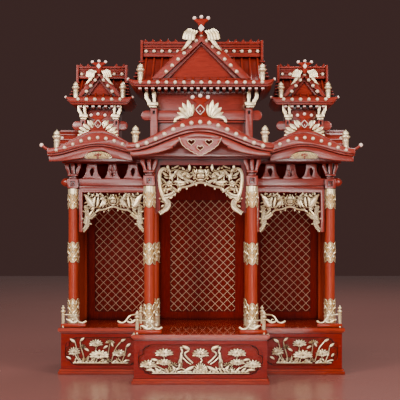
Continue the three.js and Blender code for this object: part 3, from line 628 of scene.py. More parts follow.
def makeRails():
    length, deep, high = rail["curb"]
    for side, way in hands.items():
        for name, (x, y, turn, start) in rail["places"].items():
            place = hand(way, x, y) @ hand(turn)
            curb = board((start, -deep / 2, rail["foot"]), (length, deep / 2, high), 1.0)
            makePiece(f"{side}_{name}_rail_fitting", railParts(), brightGold, [f"{side}_{name}_corner_rail"],
                      place)
            makePiece(f"{side}_{name}_rail_curb", [curb], edgeWood, (), place)


makeRails()
print("rails ready")


# Lattice wires over the three back fields.

lattice = {"wire": 0.95, "pitch": 20, "y": 163.4, "low": 123.5, "high": 393,
           "fields": {"centre": (0, 78.6), "left": (-201.5, 60), "right": (201.5, 60)}}


def makeLattice():
    low, high, y, pitch, wire = (lattice[key] for key in ("low", "high", "y", "pitch", "wire"))
    tall = high - low
    for name, (middle, half) in lattice["fields"].items():
        parts = []
        for way in (1, -1):
            for number in range(-1, int((2 * half + tall) / pitch) + 2):
                start = way * (number * pitch - half - tall)  # where the wire's line meets the low edge
                enter = max(0, (-half - start * way) / tall)
                leave = min(1, (half - start * way) / tall)
                if leave - enter < 0.01:
                    continue
                parts.append(blade([(middle + start + way * share * tall, y, low + share * tall)
                                    for share in (enter, (enter + leave) / 2, leave)], wire, wire, 5))
        makePiece(f"{name}_lattice_wires", parts, wireGold)


makeLattice()
print("lattice ready")

# Lower roofs: layered bow gables with studs.

def bow(share, peak, end):
    return end + (peak - end) * (1 + math.cos(math.pi * min(abs(share), 1))) / 2


def bowLine(half, peak, end, low=None, high=None, steps=48):
    low, high = -half if low is None else low, half if high is None else high
    return [(low + (high - low) * step / steps, bow((low + (high - low) * step / steps) / half, peak, end))
            for step in range(steps + 1)]


def bowBand(half, top, under, front, back, low=None, high=None, soft=0.8):
    upper = bowLine(half, *top, low, high)
    lower = bowLine(half, *under, low, high)
    return plate(upper + lower[::-1], front, back, soft=soft)


def softLine(points, steps=4):
    return [(point.x, point.z) for point in smoothPath(points, steps)]


def symmetric(points):  # the right half of an edge from the end to the middle, made whole
    curve = softLine(points)
    return [(-x, z) for x, z in curve[:-1]] + curve[::-1]


def stud(x, y, z, radius):
    # a domed pearl in a turned gold rim, made lying on its back and stood up to face the front
    turn = Vector((0, 0, 1)).rotation_difference(Vector((0, -1, 0))).to_matrix().to_4x4()
    place = Matrix.Translation((x, y, z)) @ turn
    rim = turned([(0, -0.6), (radius * 1.22, -0.6), (radius * 1.22, 0.5), (radius * 1.05, 1.15),
                  (radius * 0.8, 0.8), (0, 0.8)], steps=14)
    return moved(rim, place), moved(ball(0, 0, 0.7, radius * 0.92, 0.72), place)


def studRow(spots, radius):  # the rims and the pearls of the studs at these places
    pairs = [stud(*spot, radius) for spot in spots]
    return [rim for rim, dome in pairs], [dome for rim, dome in pairs]


capPost = [(0, 0), (6.2, 0), (6.2, 1.5), (5.6, 2.2), (5.6, 15), (6.2, 16), (6.2, 17.4), (5.4, 18.4),
           (5.2, 19.6), (6.6, 21.6), (8.4, 23.4), (8.7, 24.8), (8.0, 26.2), (5.8, 26.8), (5.4, 27.6),
           (6.2, 29.4), (6.3, 31), (5.2, 33.4), (3.2, 35.4), (1.4, 36.8), (0.7, 38), (0, 38.6)]


def postFinial(x, y, z, height):
    scale = height / capPost[-1][1]
    return turned([(radius * scale, up * scale) for radius, up in capPost], x, y, z)


centreRoof = {
    "half": 150, "front": -180, "back": -15, "top": (550.5, 497), "under": (520.5, 481), "strip": 7.5,
    "ribPitch": 15, "trimHalf": 142, "trim": (520, 480.5), "trimFront": -176.5, "studs": 15,
    "studPitch": 18.2, "finial": (132, -171, 36),
    "trimEdge": [(142, 472.4), (120, 473.2), (100, 475.5), (82, 479.5), (68, 483.8), (60, 486.6), (56, 487.6),
                 (55, 492.0), (50, 494.4), (44, 500.5), (36, 506), (20, 509.5), (0, 510.5)],
}
sideRoof = {
    "centre": 225, "half": 110, "front": -60, "back": 46, "top": (539, 499), "under": (503.4, 482),
    "strip": 5.5, "lip": 7, "trimHalf": 107, "trim": (503, 481.5), "trimFront": -54, "studs": 10,
    "studPitch": 18, "ribPitch": 14, "finial": (315, -51, 38), "cut": 150.3,
    "trimEdge": [(107, 470.5), (90, 471), (70, 472.5), (50, 475.3), (38, 477.3), (33.5, 478), (30, 480.5),
                 (22, 488), (12, 492.3), (0, 493.5)],
    "gable": {"y": (10, 180), "x": (302, 335), "top": (554, 505), "under": (540, 491)}, "deck": (488.3, 500),
    "horns": (([(333, -52, 496), (339, -52.5, 499), (346, -53, 504.5)], 7),
              ([(162, -50, 504), (168, -50, 508), (173, -50, 512.6)], 5)),
    # pearls on the horns and the end gable
    "tips": ((348, -53, 506, 4.4), (174.6, -50, 514, 3.8), (313, 2, 527, 4.0)),
}


def batten(x, front, back, z, thick=4.4):
    return blade([(x, front, z), (x, back, z)], 6, thick, 8, (0, 0, 1))


def slabWithRibs(roof, front, low, high):
    top = [height - 3 for height in roof["top"]]
    parts = [bowBand(roof["half"], top, roof["under"], front, roof["back"], low, high)]
    for offset in spread(int((high - low - 12) // roof["ribPitch"]) + 1, roof["ribPitch"]):
        x = (low + high) / 2 + offset
        parts.append(batten(x, front + 5, roof["back"] - 4, bow(x / roof["half"], *top), 4.6))
    return parts


def makeCentreRoof():
    roof = centreRoof
    half, top, under, front, strip = (roof[key] for key in ("half", "top", "under", "front", "strip"))
    inner = (under[0] + strip, under[1] + strip)
    parts = slabWithRibs(roof, front + 14, -half, half)
    parts.append(bowBand(half, top, (inner[0] - 1, inner[1] - 1), front, front + 16, soft=1.4))
    parts.append(bowBand(half - 0.5, inner, under, front + 3.2, front + 15, soft=2.2))
    parts.append(bowBand(half, (top[0] + 1.6, top[1] + 1.6), (top[0] - 2.2, top[1] - 2.2), front + 3,
                         front + 12, soft=1.5))
    trimTop = bowLine(roof["trimHalf"], *roof["trim"])
    parts.append(plate(trimTop[::-1] + symmetric(roof["trimEdge"]), roof["trimFront"], roof["trimFront"] + 9,
                       soft=1.2))
    tympanum = bowLine(half - 4, under[0] + 2, under[1] + 2)
    parts.append(plate([(-half + 4, 474)] + tympanum + [(half - 4, 474)], -141, -135.5, soft=0.4))
    for x in (-146, 146):
        parts.append(board((x - 4, -176, 481), (x + 4, -20, 488), 0.8))
    makePiece("centre_bow_roof", parts, satinSheenWood, ["centre_lower_roof"])
    rims, domes = studRow([(x, front - 0.2, bow(x / half, top[0] - 10.5, top[1] - 8))
                           for x in spread(roof["studs"], roof["studPitch"])], 3.6)
    x, y, height = roof["finial"]
    rims += [postFinial(x * way, y, bow(x / half, *top) - 6, height + 6) for way in (-1, 1)]
    makePiece("centre_roof_studs_rims", rims, brightGold)
    makePiece("centre_roof_studs_pearls", domes, pearl)


def endGable(gable):  # the bow gable at the far end, made facing the front and then turned
    nearY, farY = gable["y"]
    nearX, farX = gable["x"]
    reach, top, under = (farY - nearY) / 2, gable["top"], gable["under"]
    parts = [bowBand(reach, top, under, -farX, -nearX + 26, soft=1.2)]
    wall = bowLine(reach - 3, under[0] + 3, under[1] + 3)
    parts.append(plate([(-reach + 3, 488.5)] + wall + [(reach - 3, 488.5)], -farX + 8, -farX + 14, soft=0.4))
    parts += [batten(x, -farX + 2, -nearX + 28, bow(x / reach, *top)) for x in spread(11, 14.5)]
    return [shifted(moved(part, quarterTurn), 0, (nearY + farY) / 2) for part in parts]


def makeSideRoof(side, way):
    roof = sideRoof
    centre, half, top, under, front = (roof[key] for key in ("centre", "half", "top", "under", "front"))
    strip, lip, cut = roof["strip"], roof["lip"], roof["cut"]
    low, high = cut - centre, half
    inner = (under[0] + strip, under[1] + strip)
    parts = slabWithRibs(roof, front + 12, low, high)
    parts.append(bowBand(half, top, (top[0] - lip - 1, top[1] - 2), front + 3.4, front + 14, low, high, 1.4))
    parts.append(bowBand(half, (top[0] - lip, top[1] - 1.2), (inner[0] - 1, inner[1] - 1), front, front + 14,
                         low, high, 1.2))
    parts.append(bowBand(half - 0.5, inner, under, front + 3.0, front + 13, low, high - 0.5, 2.0))
    edge = [(max(x, low), z) for x, z in symmetric(roof["trimEdge"])]
    edge = [spot for spot in edge if spot[0] > low + 0.5]
    trimTop = bowLine(roof["trimHalf"], *roof["trim"], low, roof["trimHalf"])
    parts.append(plate(trimTop[::-1] + [(low, edge[0][1])] + edge, roof["trimFront"], roof["trimFront"] + 9,
                       soft=1.0))
    tympanum = bowLine(half - 3, under[0] + 2, under[1] + 1, low + 1, half - 3)
    parts.append(plate([(low + 1, 472)] + tympanum + [(half - 3, 472)], -38, -33, soft=0.4))
    parts = [shifted(part, centre) for part in parts] + endGable(roof["gable"])
    deckLow, deckHigh = roof["deck"]
    parts.append(board((cut, 40, deckLow), (334, 180, deckHigh), 1.2))
    parts.append(board((cut, -14, deckLow), (160, 60, deckHigh - 2), 1.0))
    parts += [batten(160 + number * 13.2, 47, 176, deckHigh) for number in range(12)]  # the flat part behind
    for points, width in roof["horns"]:
        parts.append(stem(points, width, taper=0.8, sides=10))
    makePiece(f"{side}_bow_roof", parts, satinSheenWood, [f"{side}_lower_roof"], hand(way))
    offsets = [offset + 9 for offset in spread(roof["studs"], roof["studPitch"])]
    rims, domes = studRow([(centre + offset, front - 0.2, bow(offset / half, top[0] - 17.5, top[1] - 6.5))
                           for offset in offsets if low + 7 <= offset <= high - 6], 3.3)
    domes += [ball(*tip) for tip in roof["tips"]]
    x, y, height = roof["finial"]
    rims.append(postFinial(x, y, bow((x - centre) / half, *top) - 6, height + 6))
    makePiece(f"{side}_roof_studs_rims", rims, brightGold, (), hand(way))
    makePiece(f"{side}_roof_studs_pearls", domes, pearl, (), hand(way))


makeCentreRoof()
for side, way in hands.items():
    makeSideRoof(side, way)
print("lower roofs ready")

# Towers: bodies, roofs with front gables, crests.

towers = {
    "centre": {
        "middle": 0, "front": -45, "back": 155, "ridgeY": 55, "eave": (159, 636, 649, 4, 15),
        "studs": (15, 19.1), "rafters": (20, 14.2), "ridge": (136, 718, 753), "teeth": (17.3, 106, 40),
        "blunt": 5, "ribs": 18.2, "ridgeStuds": (18.1, 52), "gable": (-39, 108, 653.5, 757, 87, 735, 73, 729),
        "barge": (749.5, 11.8, 736.8, 13.1, 13.56, 6), "finial": (134, -36, 39),
        "body": (100, 1, 151, 488.4, 635.4), "beam": (135, 566, 588, -9), "posts": (106, 16, -8, 500),
        "bracket": (108.5, 594, 28, 34), "crest": (-47, 756, 1.0, 1.0, 1.0, 6.6), "verge": 5,
    },
    "side": {
        "middle": 235, "front": 35, "back": 155, "ridgeY": 95, "eave": (75, 608, 624, 2, 12),
        "studs": (6, 19.2), "rafters": (7, 14.4), "ridge": (55, 675, 704), "teeth": (17.3, 44, 18),
        "blunt": 3, "ribs": 18.2, "ridgeStuds": (18.1, 30), "gable": (40, 51, 626, 683, 41, 672, 27, 662),
        "barge": (677.5, 9.8, 664.5, 9.8, 13.0, 3), "finial": (54, 41, 37),
        "body": (40, 62, 147, 500.3, 607.8), "beam": (64, 551, 572, 52), "posts": (38, 12, 53, 508),
        "bracket": (36.5, 575, 22, 35), "crest": (31, 683, 0.72, 1.0, 0.74, 15.5), "verge": 5,
    },
}


def eaveOutline(half, low, high, lift, taper):
    tip = [(half, high + lift), (half - 5, high + lift * 0.45), (half - 14, high + lift * 0.1),
           (half - 26, high)]
    keel = [(half + 1, high + lift - 2.5), (half - taper * 0.25, low + (high - low) * 0.62),
            (half - taper * 0.6, low + (high - low) * 0.2), (half - taper, low), (half - taper - 12, low)]
    return twinned(softLine(tip)[::-1] + softLine(keel))  # from the flat top out to the tip and back under


def tooth(x, y, z):
    hook = [(0, 0), (11, 0), (10.5, 1.6), (7.4, 2.2), (5.6, 3.6), (5.2, 6.6), (3.6, 5.0), (1.4, 2.8)]
    return shifted(plate([(px * 1.35, pz * 1.35) for px, pz in hook], -4, 4, soft=0.3), x, y, z)


ridgeCourses = ((0, 0.25, 12, 2), (0.23, 0.5, 8.6, 0), (0.5, 0.6, 10.4, 1), (0.6, 0.66, 8.8, 0),
                (0.66, 0.76, 10.4, 1),
                (0.76, 0.86, 8.8, 0), (0.86, 1.0, 11, 2))  # bottom, top, half depth, overhang


def towerSlopes(config):  # hollow slopes with their ribs and stepped verges
    front, back, ridgeY = config["front"], config["back"], config["ridgeY"]
    high = config["eave"][2]
    ridgeHalf, ridgeLow = config["ridge"][:2]
    deep, steps = (back - front) / 2, 8
    slope = [(-deep + 3 + (deep - 3) * step / steps,
              high - 0.5 + (ridgeLow + 4 - high) * (step / steps) ** 1.12)
             for step in range(steps + 1)]
    # the slope bed between the ribs takes the darker finish: painted shade between the ribs
    block = moved(plate(twinned(slope), -ridgeHalf - 1, ridgeHalf + 1, soft=0.5), quarterTurn)
    red = []
    for x in spread(int((ridgeHalf * 2 - 8) // config["ribs"]) + 1, config["ribs"]):
        for way in (1, -1):
            red.append(blade([(x, ridgeY + way * u, z + 0.6) for u, z in slope], 5.2, 5.0, 8, (0, 0, 1)))
    for number in range(config["verge"]):
        share = 0.16 + 0.78 * number / config["verge"]
        u, z = slope[0][0] * (1 - share), high + (ridgeLow + 2 - high) * share ** 1.12
        reach = ridgeHalf + 15 - 9 * share
        red += bothSides([board((ridgeHalf - 4, ridgeY + u - 4, z), (reach, ridgeY - u + 4, z + 3), 1.0)])
    return red, [shifted(block, 0, ridgeY)]


def towerRidge(config):  # stacked courses, end plates and teeth along the top
    ridgeY = config["ridgeY"]
    ridgeHalf, ridgeLow, ridgeHigh = config["ridge"]
    tall = ridgeHigh - ridgeLow
    red = [board((-ridgeHalf - long, ridgeY - reach, ridgeLow + tall * bottom),
                 (ridgeHalf + long, ridgeY + reach, ridgeLow + tall * top), 0.9)
           for bottom, top, reach, long in ridgeCourses]
    shape = [(15, ridgeLow - 10), (16, ridgeLow), (13, ridgeHigh - 8), (13.5, ridgeHigh + 3),
             (7, ridgeHigh + 1), (0, ridgeHigh + 5)]
    for end in (-ridgeHalf - 4.5, ridgeHalf - 1):
        red.append(shifted(moved(plate(twinned(shape), -end - 5.5, -end, soft=0.8), quarterTurn), 0, ridgeY))
    pitch, reach, least = config["teeth"]
    x = reach + 18
    while x > least:
        if x < ridgeHalf - 10:
            red += bothSides([tooth(x, ridgeY, ridgeHigh - 0.6)])
        x -= pitch
    return red


def towerGable(config):  # layered barge boards round a plain pediment
    ridgeY, high, blunt = config["ridgeY"], config["eave"][2], config["blunt"]
    face, foot, footZ, apexZ, innerFoot, innerApex, openFoot, openApex = config["gable"]
    frontBoard = [(-foot, footZ), (-blunt, apexZ), (blunt, apexZ), (foot, footZ), (innerFoot, footZ),
                  (0, innerApex), (-innerFoot, footZ)]
    capping = [(-foot - 3, footZ), (-blunt - 1, apexZ + 3), (blunt + 1, apexZ + 3), (foot + 3, footZ),
               (foot - 3.5, footZ), (0, apexZ - 4), (-foot + 3.5, footZ)]
    strip = [(-innerFoot - 1, footZ), (0, innerApex + 1), (innerFoot + 1, footZ), (openFoot, footZ),
             (0, openApex), (-openFoot, footZ)]
    infill = [(-foot + 4, footZ), (0, apexZ - 5), (foot - 4, footZ)]
    panel = [(-openFoot - 2, footZ - 1), (0, openApex + 2), (openFoot + 2, footZ - 1)]
    red = [plate(frontBoard, face, face + 7, soft=1.0), plate(capping, face + 2.5, ridgeY, soft=1.2),
           board((-foot - 1, face + 1, high - 1), (foot + 1, face + 9, footZ + 1.2), 0.8)]
    # the inner strip and the infill behind it take the darker finish: painted shade inside the barge boards
    dark = [plate(strip, face + 5, face + 12, soft=0.8), plate(infill, face + 14, ridgeY, soft=0)]
    return red, dark, [plate(panel, face + 9, face + 15, soft=0)]


def towerStuds(config):  # eave, barge boards and ridge, then the finials and corner pearls
    half, low, high, lift = config["eave"][:4]
    front, face, ridgeY = config["front"], config["gable"][0], config["ridgeY"]
    ridgeHalf, ridgeLow, ridgeHigh = config["ridge"]
    eave = [(x, front - 0.2, high - 4.6 + (lift * 0.2 if abs(x) > half - 30 else 0))
            for x in spread(*config["studs"])]
    top, x, z, stepX, stepZ, number = config["barge"]
    barge = [(0, face - 0.2, top)] + [(way * (x + stepX * index), face - 0.2, z - stepZ * index)
                                      for index in range(number) for way in (-1, 1)]
    pitch, inner = config["ridgeStuds"]
    ridge, x = [], ridgeHalf - 8
    while x > inner - 20:
        ridge += [(x * way, ridgeY - 11.6, ridgeLow + (ridgeHigh - ridgeLow) * 0.37) for way in (-1, 1)]
        x -= pitch
    rims, domes = studRow(eave + barge, 3.4)
    ridgeRims, ridgeDomes = studRow(ridge, 3.3)
    x, y, height = config["finial"]
    rims += ridgeRims + [postFinial(x * way, y, high - 1, height + 1) for way in (-1, 1)]
    domes += ridgeDomes + [ball((half + 1.5) * way, front + 4, high + lift - 1, 3.0) for way in (-1, 1)]
    return rims, domes


def towerRoof(config):
    front, back = config["front"], config["back"]
    half, low, high, lift, taper = config["eave"]
    red = [plate(eaveOutline(half, low + 4.5, high, lift, taper), front, back, soft=0.5),
           plate(eaveOutline(half - 2.5, low, high - 6, lift * 0.9, taper), front + 3, back - 3, soft=0.5)]
    slopeRed, slopeDark = towerSlopes(config)
    gableRed, gableDark, pediment = towerGable(config)
    red += slopeRed + towerRidge(config) + gableRed
    dark = slopeDark + gableDark
    places = spread(*config["rafters"])
    # the rafters take the darker finish: painted shade under the eave
    dark += [board((x - 3.6, front + 8, low - 8), (x + 3.6, back - 8, low + 1), 0.6) for x in places]
    ends = [board((x - 3.2, front + 5.6, low - 5.2), (x + 3.2, front + 8.6, low - 1.8), 0.5) for x in places]
    return red, dark, pediment, ends


def bracketParts(x, y, z, wide, tall, way):
    # two prongs rising from a bar, on two stacked plates
    bar = tall * 0.2
    parts = [board((x - wide * 0.30, y - 6, z), (x + wide * 0.30, y + 8, z + tall * 0.10), 0.6),
             board((x - wide * 0.42, y - 8, z + tall * 0.13),
                   (x + wide * 0.42, y + 9, z + tall * 0.13 + bar), 1.0),
             board((x - wide * 0.24, y - 5, z + tall * 0.08), (x + wide * 0.24, y + 7, z + tall * 0.16), 0.3)]
    outer = [(0.12, 0.3), (0.44, 0.3), (0.52, 0.44), (0.62, 0.56), (0.64, 0.84), (0.6, 1.0), (0.36, 1.0),
             (0.38, 0.78), (0.32, 0.6), (0.2, 0.5)]
    inner = [(-0.28, 0.3), (0.0, 0.3), (-0.02, 0.56), (0.04, 0.66), (0.04, 1.0), (-0.26, 1.0), (-0.26, 0.66),
             (-0.22, 0.56)]
    for prong in (outer, inner):
        shape = [(x + way * u * wide, z + v * tall) for u, v in prong]
        parts.append(plate(shape, y - 7, y + 4, soft=0.7))
    return parts


def towerBody(config):
    half, front, back, foot, head = config["body"]
    tall = head - foot
    red = [board((-half, front, foot), (half, back, head), 0.8)]
    for bottom, top in ((0.0, 0.06), (0.94, 1.0)):
        red.append(board((-half - 2.5, front - 2.5, foot + tall * bottom),
                         (half + 2.5, back + 2.5, foot + tall * top), 1.0))
    reach, low, high, beamFront = config["beam"]
    middle, thick = (low + high) / 2, (high - low) / 2
    nose = [(reach - thick + thick * math.cos(a * math.pi / 12), middle + thick * math.sin(a * math.pi / 12))
            for a in range(-6, 7)]
    red.append(plate(twinned(nose), beamFront, front + 4, soft=1.2))
    red.append(board((-half, beamFront + 2, low - 5), (half, front + 4, low - 1), 0.8))
    postX, width, postFront, postFoot = config["posts"]
    shape = [(-width / 2, postFoot), (width / 2, postFoot), (width / 2, high + 4), (-width / 2, high + 4)]
    slot = [(-width * 0.17, high - 9), (width * 0.17, high - 9), (width * 0.17, high - 1),
            (-width * 0.17, high - 1)]
    bracketX, bracketZ, wide, tallness = config["bracket"]
    gold = []
    for way in (-1, 1):
        red.append(shifted(plate(shape, postFront - 6, front + 6, [slot], soft=0.8), postX * way))
        gold += bracketParts(bracketX * way, postFront - 2, bracketZ, wide, tallness, way)
    for step in (0.34, 0.66):  # plainer framing on the other faces
        z = foot + tall * step
        red.append(board((-half - 1.4, front + 8, z - 3), (half + 1.4, back + 1.4, z + 3), 0.8))
    return red, gold


def diamondLine(wide, tall, middle, pinch):  # a diamond with hollow sides
    line = []
    for step in range(24):
        angle = step * math.tau / 24
        reach = 1 - pinch * abs(math.sin(2 * angle))
        line.append((wide * math.cos(angle) * reach, middle + tall * math.sin(angle) * reach))
    return line


def towerCrest(config):
    # a red crown with three pearls and a silver diamond, between two draped wings
    # wings' scale, crown's breadth and height, and where its diamond sits
    y, base, scale, broad, high, gemRise = config["crest"]
    crown = [(3.4, -7), (4.4, 4), (5.6, 13), (9, 19), (14.6, 23), (16.6, 27.4), (12, 28), (6, 26.4), (0, 28)]
    red = [plate([(x * broad, base + z * high) for x, z in twinned(crown)], y + 0.5, y + 8, soft=0.6)]
    gem = [(x * high, base + z * high) for x, z in diamondLine(6.4, 8, gemRise, 0.2)]
    silver = [plate(gem, y - 2, y + 1, soft=1.2)]
    pearls = [ball(x * broad, y + 3, base + z * high, 4.2 * (high + 1) / 2) for x,
              z in ((-15, 29), (0, 31.5), (15, 29))]
    wings = []
    for fold in range(4):
        start = Vector(((-26 + fold * 5.4) * scale, y + 2, base + (4.5 - fold * 1.5) * scale))
        end = Vector(((-38 + fold * 6.6) * scale, y + 1.4, base + (-17.5 - fold * 0.6) * scale))
        bulge = (start + end) / 2 + Vector((-2.2 * scale, -1.5, 3.4 * scale))
        path = [start, (start + bulge) / 2, bulge, (bulge + end) / 2, end]
        wings.append(blade(path, [size * scale for size in (5.0, 6.6, 7.8, 8.4, 7.6)], 6 * scale, 8))
    tail = smoothPath([(-22 * scale, base - 15 * scale), (-27 * scale, base - 23 * scale),
                       (-34 * scale, base - 33 * scale), (-45 * scale, base - 43 * scale)], 3, y + 2)
    for offset, wide in ((0, 10), (4.5, 7)):
        path = [point + Vector((offset * scale, 0.5, offset * 0.8 * scale)) for point in tail]
        wings.append(blade(path, swell(len(path), wide * scale, 0.55, 0.06, 0.25), 4.6 * scale, 8))
    wings.append(blade([(-13 * scale, y + 2.5, base - 4 * scale), (-24 * scale, y + 2.2, base + 3.5 * scale),
                        (-31 * scale, y + 2, base + 2 * scale)], [5 * scale, 6 * scale, 3 * scale],
                        6 * scale, 8))
    return red, silver, pearls, bothSides(wings)


def makeTower(name, config, way):
    red, dark, pediment, ends = towerRoof(config)
    rims, domes = towerStuds(config)
    walls, brackets = towerBody(config)
    crown, silver, pearls, wings = towerCrest(config)
    for piece, parts, finish, *replaced in (
            ("eaves_and_ridge", red, roofWood, f"{name}_tower_roof"), ("slopes", dark, darkAndShadeWood),
            ("pediment", pediment, pedimentWood), ("studs_rims", rims, brightGold),
            ("studs_pearls", domes, pearl), ("rafter_ends", ends, pearl),
            ("walls", walls, satinSheenWood, f"{name}_tower_body"), ("brackets", brackets, brightGold),
            ("crown", crown, pedimentWood, f"{name}_tower_crest"), ("crown_diamond", silver, pearl),
            ("crown_pearls", pearls, pearl), ("wings", wings, brightGold)):
        makePiece(f"{name}_tower_{piece}", parts, finish, replaced, hand(way, config["middle"]))


makeTower("centre", towers["centre"], 1)
for side, way in hands.items():
    makeTower(side, towers["side"], way)
print("towers ready")

# Column heads, side beams and struts.

head = {"block": (24, 414, 435), "lowPlate": (17, 435, 439.6), "highPlate": (23, 441.4, 446), "top": 469.8,
        "places": {"front_bracket": (108, -115), "outer_bracket": (288, 5)}}
beam = {"x": (119.5, 302), "y": (-1.2, 11), "z": (419.5, 436.5), "strut": (154, 200, 246)}


def bracketHead():
    wide, low, high = head["block"]
    half = wide / 2
    hollow = [(-half * 0.42, low + 5), (half * 0.42, low + 5), (half * 0.42, high - 5),
              (-half * 0.42, high - 5)]
    face = [(-half, low), (half, low), (half, high), (-half, high)]
    parts = [plate(face, -half, -half + 4, [hollow], soft=0.9),
             board((-half, -half + 3.5, low), (half, half, high), 0.8)]
    parts.append(ball(0, -half + 2.4, (low + high) / 2 + 1, 2.6, 0.8, 0.5))
    for (width, bottom, top), extra in ((head["lowPlate"], 0), (head["highPlate"], 1)):
        parts.append(board((-width / 2, -width / 2 - extra, bottom), (width / 2, width / 2 + extra, top),
                           1.2))
    parts.append(board((-6.5, -6.5, 439), (6.5, 6.5, 442), 0.3))
    top = head["top"]
    parts.append(plate([(-4, 445), (4, 445), (4.2, top), (-4.2, top)], -8, 8, soft=0.8))
    prong = [(4.6, 445), (10.6, 445), (12.8, 449), (14.4, 454), (17.6, 460), (18.2, top), (9.4, top),
             (9.2, 462), (7.4, 456), (6.6, 451)]
    return parts + bothSides([plate(prong, -8, 8, soft=1.0)])


def drop(x, z, wide, tall):
    loop = []
    for step in range(16):
        angle = math.tau * step / 16
        reach = 1 + 0.55 * max(0, -math.sin(angle)) ** 3
        loop.append((x + math.cos(angle) * wide / 2, z + math.sin(angle) * tall / 2 * reach))
    return loop


def beamParts():
    low, high = beam["z"]
    front, back = beam["y"]
    start, end = beam["x"]
    middle = (low + high) / 2
    parts = [board((start, front, low), (end, back, high), 1.6, 3)]
    parts.append(board((start, front + 1.6, low - 5.2), (276, back - 1.5, low + 0.5), 1.0))
    nose = turned([(0, 0), (10, 0), (10, 3), (9.4, 7), (7.6, 11), (4.4, 14.6), (0, 16.4)], steps=24)
    parts.append(moved(nose, Matrix.Translation((300, (front + back) / 2,
                                                 middle)) @ Matrix.Rotation(math.pi / 2, 4, "Y")))
    profile = [(20.5, high - 0.4), (20.2, high + 2.6), (17, high + 6), (14, high + 12), (12, high + 20),
               (11, high + 33.2)]
    flare = softLine(profile, 3)
    for number, x in enumerate(beam["strut"]):
        scale = 0.82 if number == 1 else 1
        outline = twinned([(px * scale, pz) for px, pz in flare])
        holes = [drop(0, high + 16, 9, 15)] if number != 1 else [drop(0, high + 9, 5, 7)]
        parts.append(shifted(plate(outline, front + 1, back - 2, holes, soft=1.0), x))
        if number == 1:  # the middle strut is carved with an upright sprig
            sprig = [leaf(0, high + 15, 90, 16, 6, front - 0.4, thick=3)]
            for reach, heading in ((4, 60), (9, 50), (2, 38)):
                sprig += bothSides([leaf(1.5, high + 14 - reach, heading, 11, 4.4, front - 0.2, 25, 2.6)])
            parts += [shifted(part, x) for part in sprig]
    return parts


def makeHeads():
    for side, way in hands.items():
        for name, (x, y) in head["places"].items():
            makePiece(f"{side}_{name}_prongs", bracketHead(), satinSheenWood, [f"{side}_{name}"], hand(way, x, y))
        makePiece(f"{side}_beam_with_struts", beamParts(), satinSheenWood, [f"{side}_side_beam"], hand(way))


makeHeads()
print("column heads ready")


# Gable ornaments: pendant, fans, crests.

def heart(x, z, size):
    loop = []
    for step in range(20):
        a = math.tau * step / 20
        rise = sum(weight * math.cos(turn * a) for turn, weight in ((1, 13), (2, -5), (3, -2), (4, -1)))
        loop.append((x + size * 0.928 * math.sin(a) ** 3, z + size * 0.05 * rise))
    return loop


pendant = {"corners": [(0, 472.6), (7.5, 476), (15.5, 480), (24, 485), (32, 490.5), (38, 497.5), (41, 505.5),
                       (43, 509)],
           "hearts": ((-18, 499.5, 8.4), (18, 499.5, 8.4), (0, 487.5, 7.4))}


def makePendant():
    right, corners = [], pendant["corners"]
    for (x, z), (nextX, nextZ) in zip(corners, corners[1:]):  # a shallow scallop between two corners
        right += [(x, z), ((x + nextX) / 2 + 0.8, (z + nextZ) / 2 - 1.1)]
    right.append(corners[-1])
    outline = [(-x, z) for x, z in right[:0:-1]] + right
    holes = [heart(*place) for place in pendant["hearts"]]
    makePiece("centre_pendant", [plate(outline, -179.4, -172.5, holes, soft=1.0)], satinSheenWood)
    # pale beads along the outline and round the hearts: a painted highlight standing in for the gloss on the
    # bevelled edges
    beads = [blade([(x, -179.6, z) for x, z in line], 1.0, 1.0, 6)
             for line in [outline] + [loop + loop[:1] for loop in holes]]
    makePiece("centre_pendant_edge_highlight", beads, wireGold)


fan = {"x": 225, "y": -53, "base": 476.5, "top": 492.3, "reach": 31.5,
       "cloud": ((-4.6, 484.6, 3.04), (4.6, 484.6, 3.04), (0, 486, 2.88), (0, 481.4, 2.72), (0, 477.6, 1.76))}


def makeFan(side, way):
    y, base, top, reach = fan["y"], fan["base"], fan["top"], fan["reach"]
    spring = base + 3.5
    arch = [(reach * math.cos(a * math.pi / 12), spring + (top - spring) * math.sin(a * math.pi / 12))
            for a in range(7)]
    ground = [plate(twinned([(reach - 7, base)] + arch[:-1] + [(0, top)]), y + 1, y + 4, soft=0.8)]
    ribs = []
    for rib in range(-8, 9):
        lean = rib / 8.5
        foot = (lean * 22, y - 0.3, base + 1.2)
        tip = (lean * (reach - 1.5), y - 0.6, base + 3.4 + (top - base - 4.4) * math.sqrt(1 - lean ** 2))
        middle = [(a + b) / 2 for a, b in zip(foot, tip)]
        ribs.append(blade([foot, middle, tip], [2.0, 3.0, 3.6], [4.2, 5.4, 5.0], 6))
    cloud = [ball(x, y - 1.8, z, radius, 0.9, 0.5) for x, z, radius in fan["cloud"]]
    place = hand(way, fan["x"])
    makePiece(f"{side}_fan_ground", ground, castGold, [f"{side}_gable_fan"], place)
    makePiece(f"{side}_fan_ribs", ribs, brightGold, (), place)
    makePiece(f"{side}_fan_cloud", cloud, satinSheenWood, (), place)


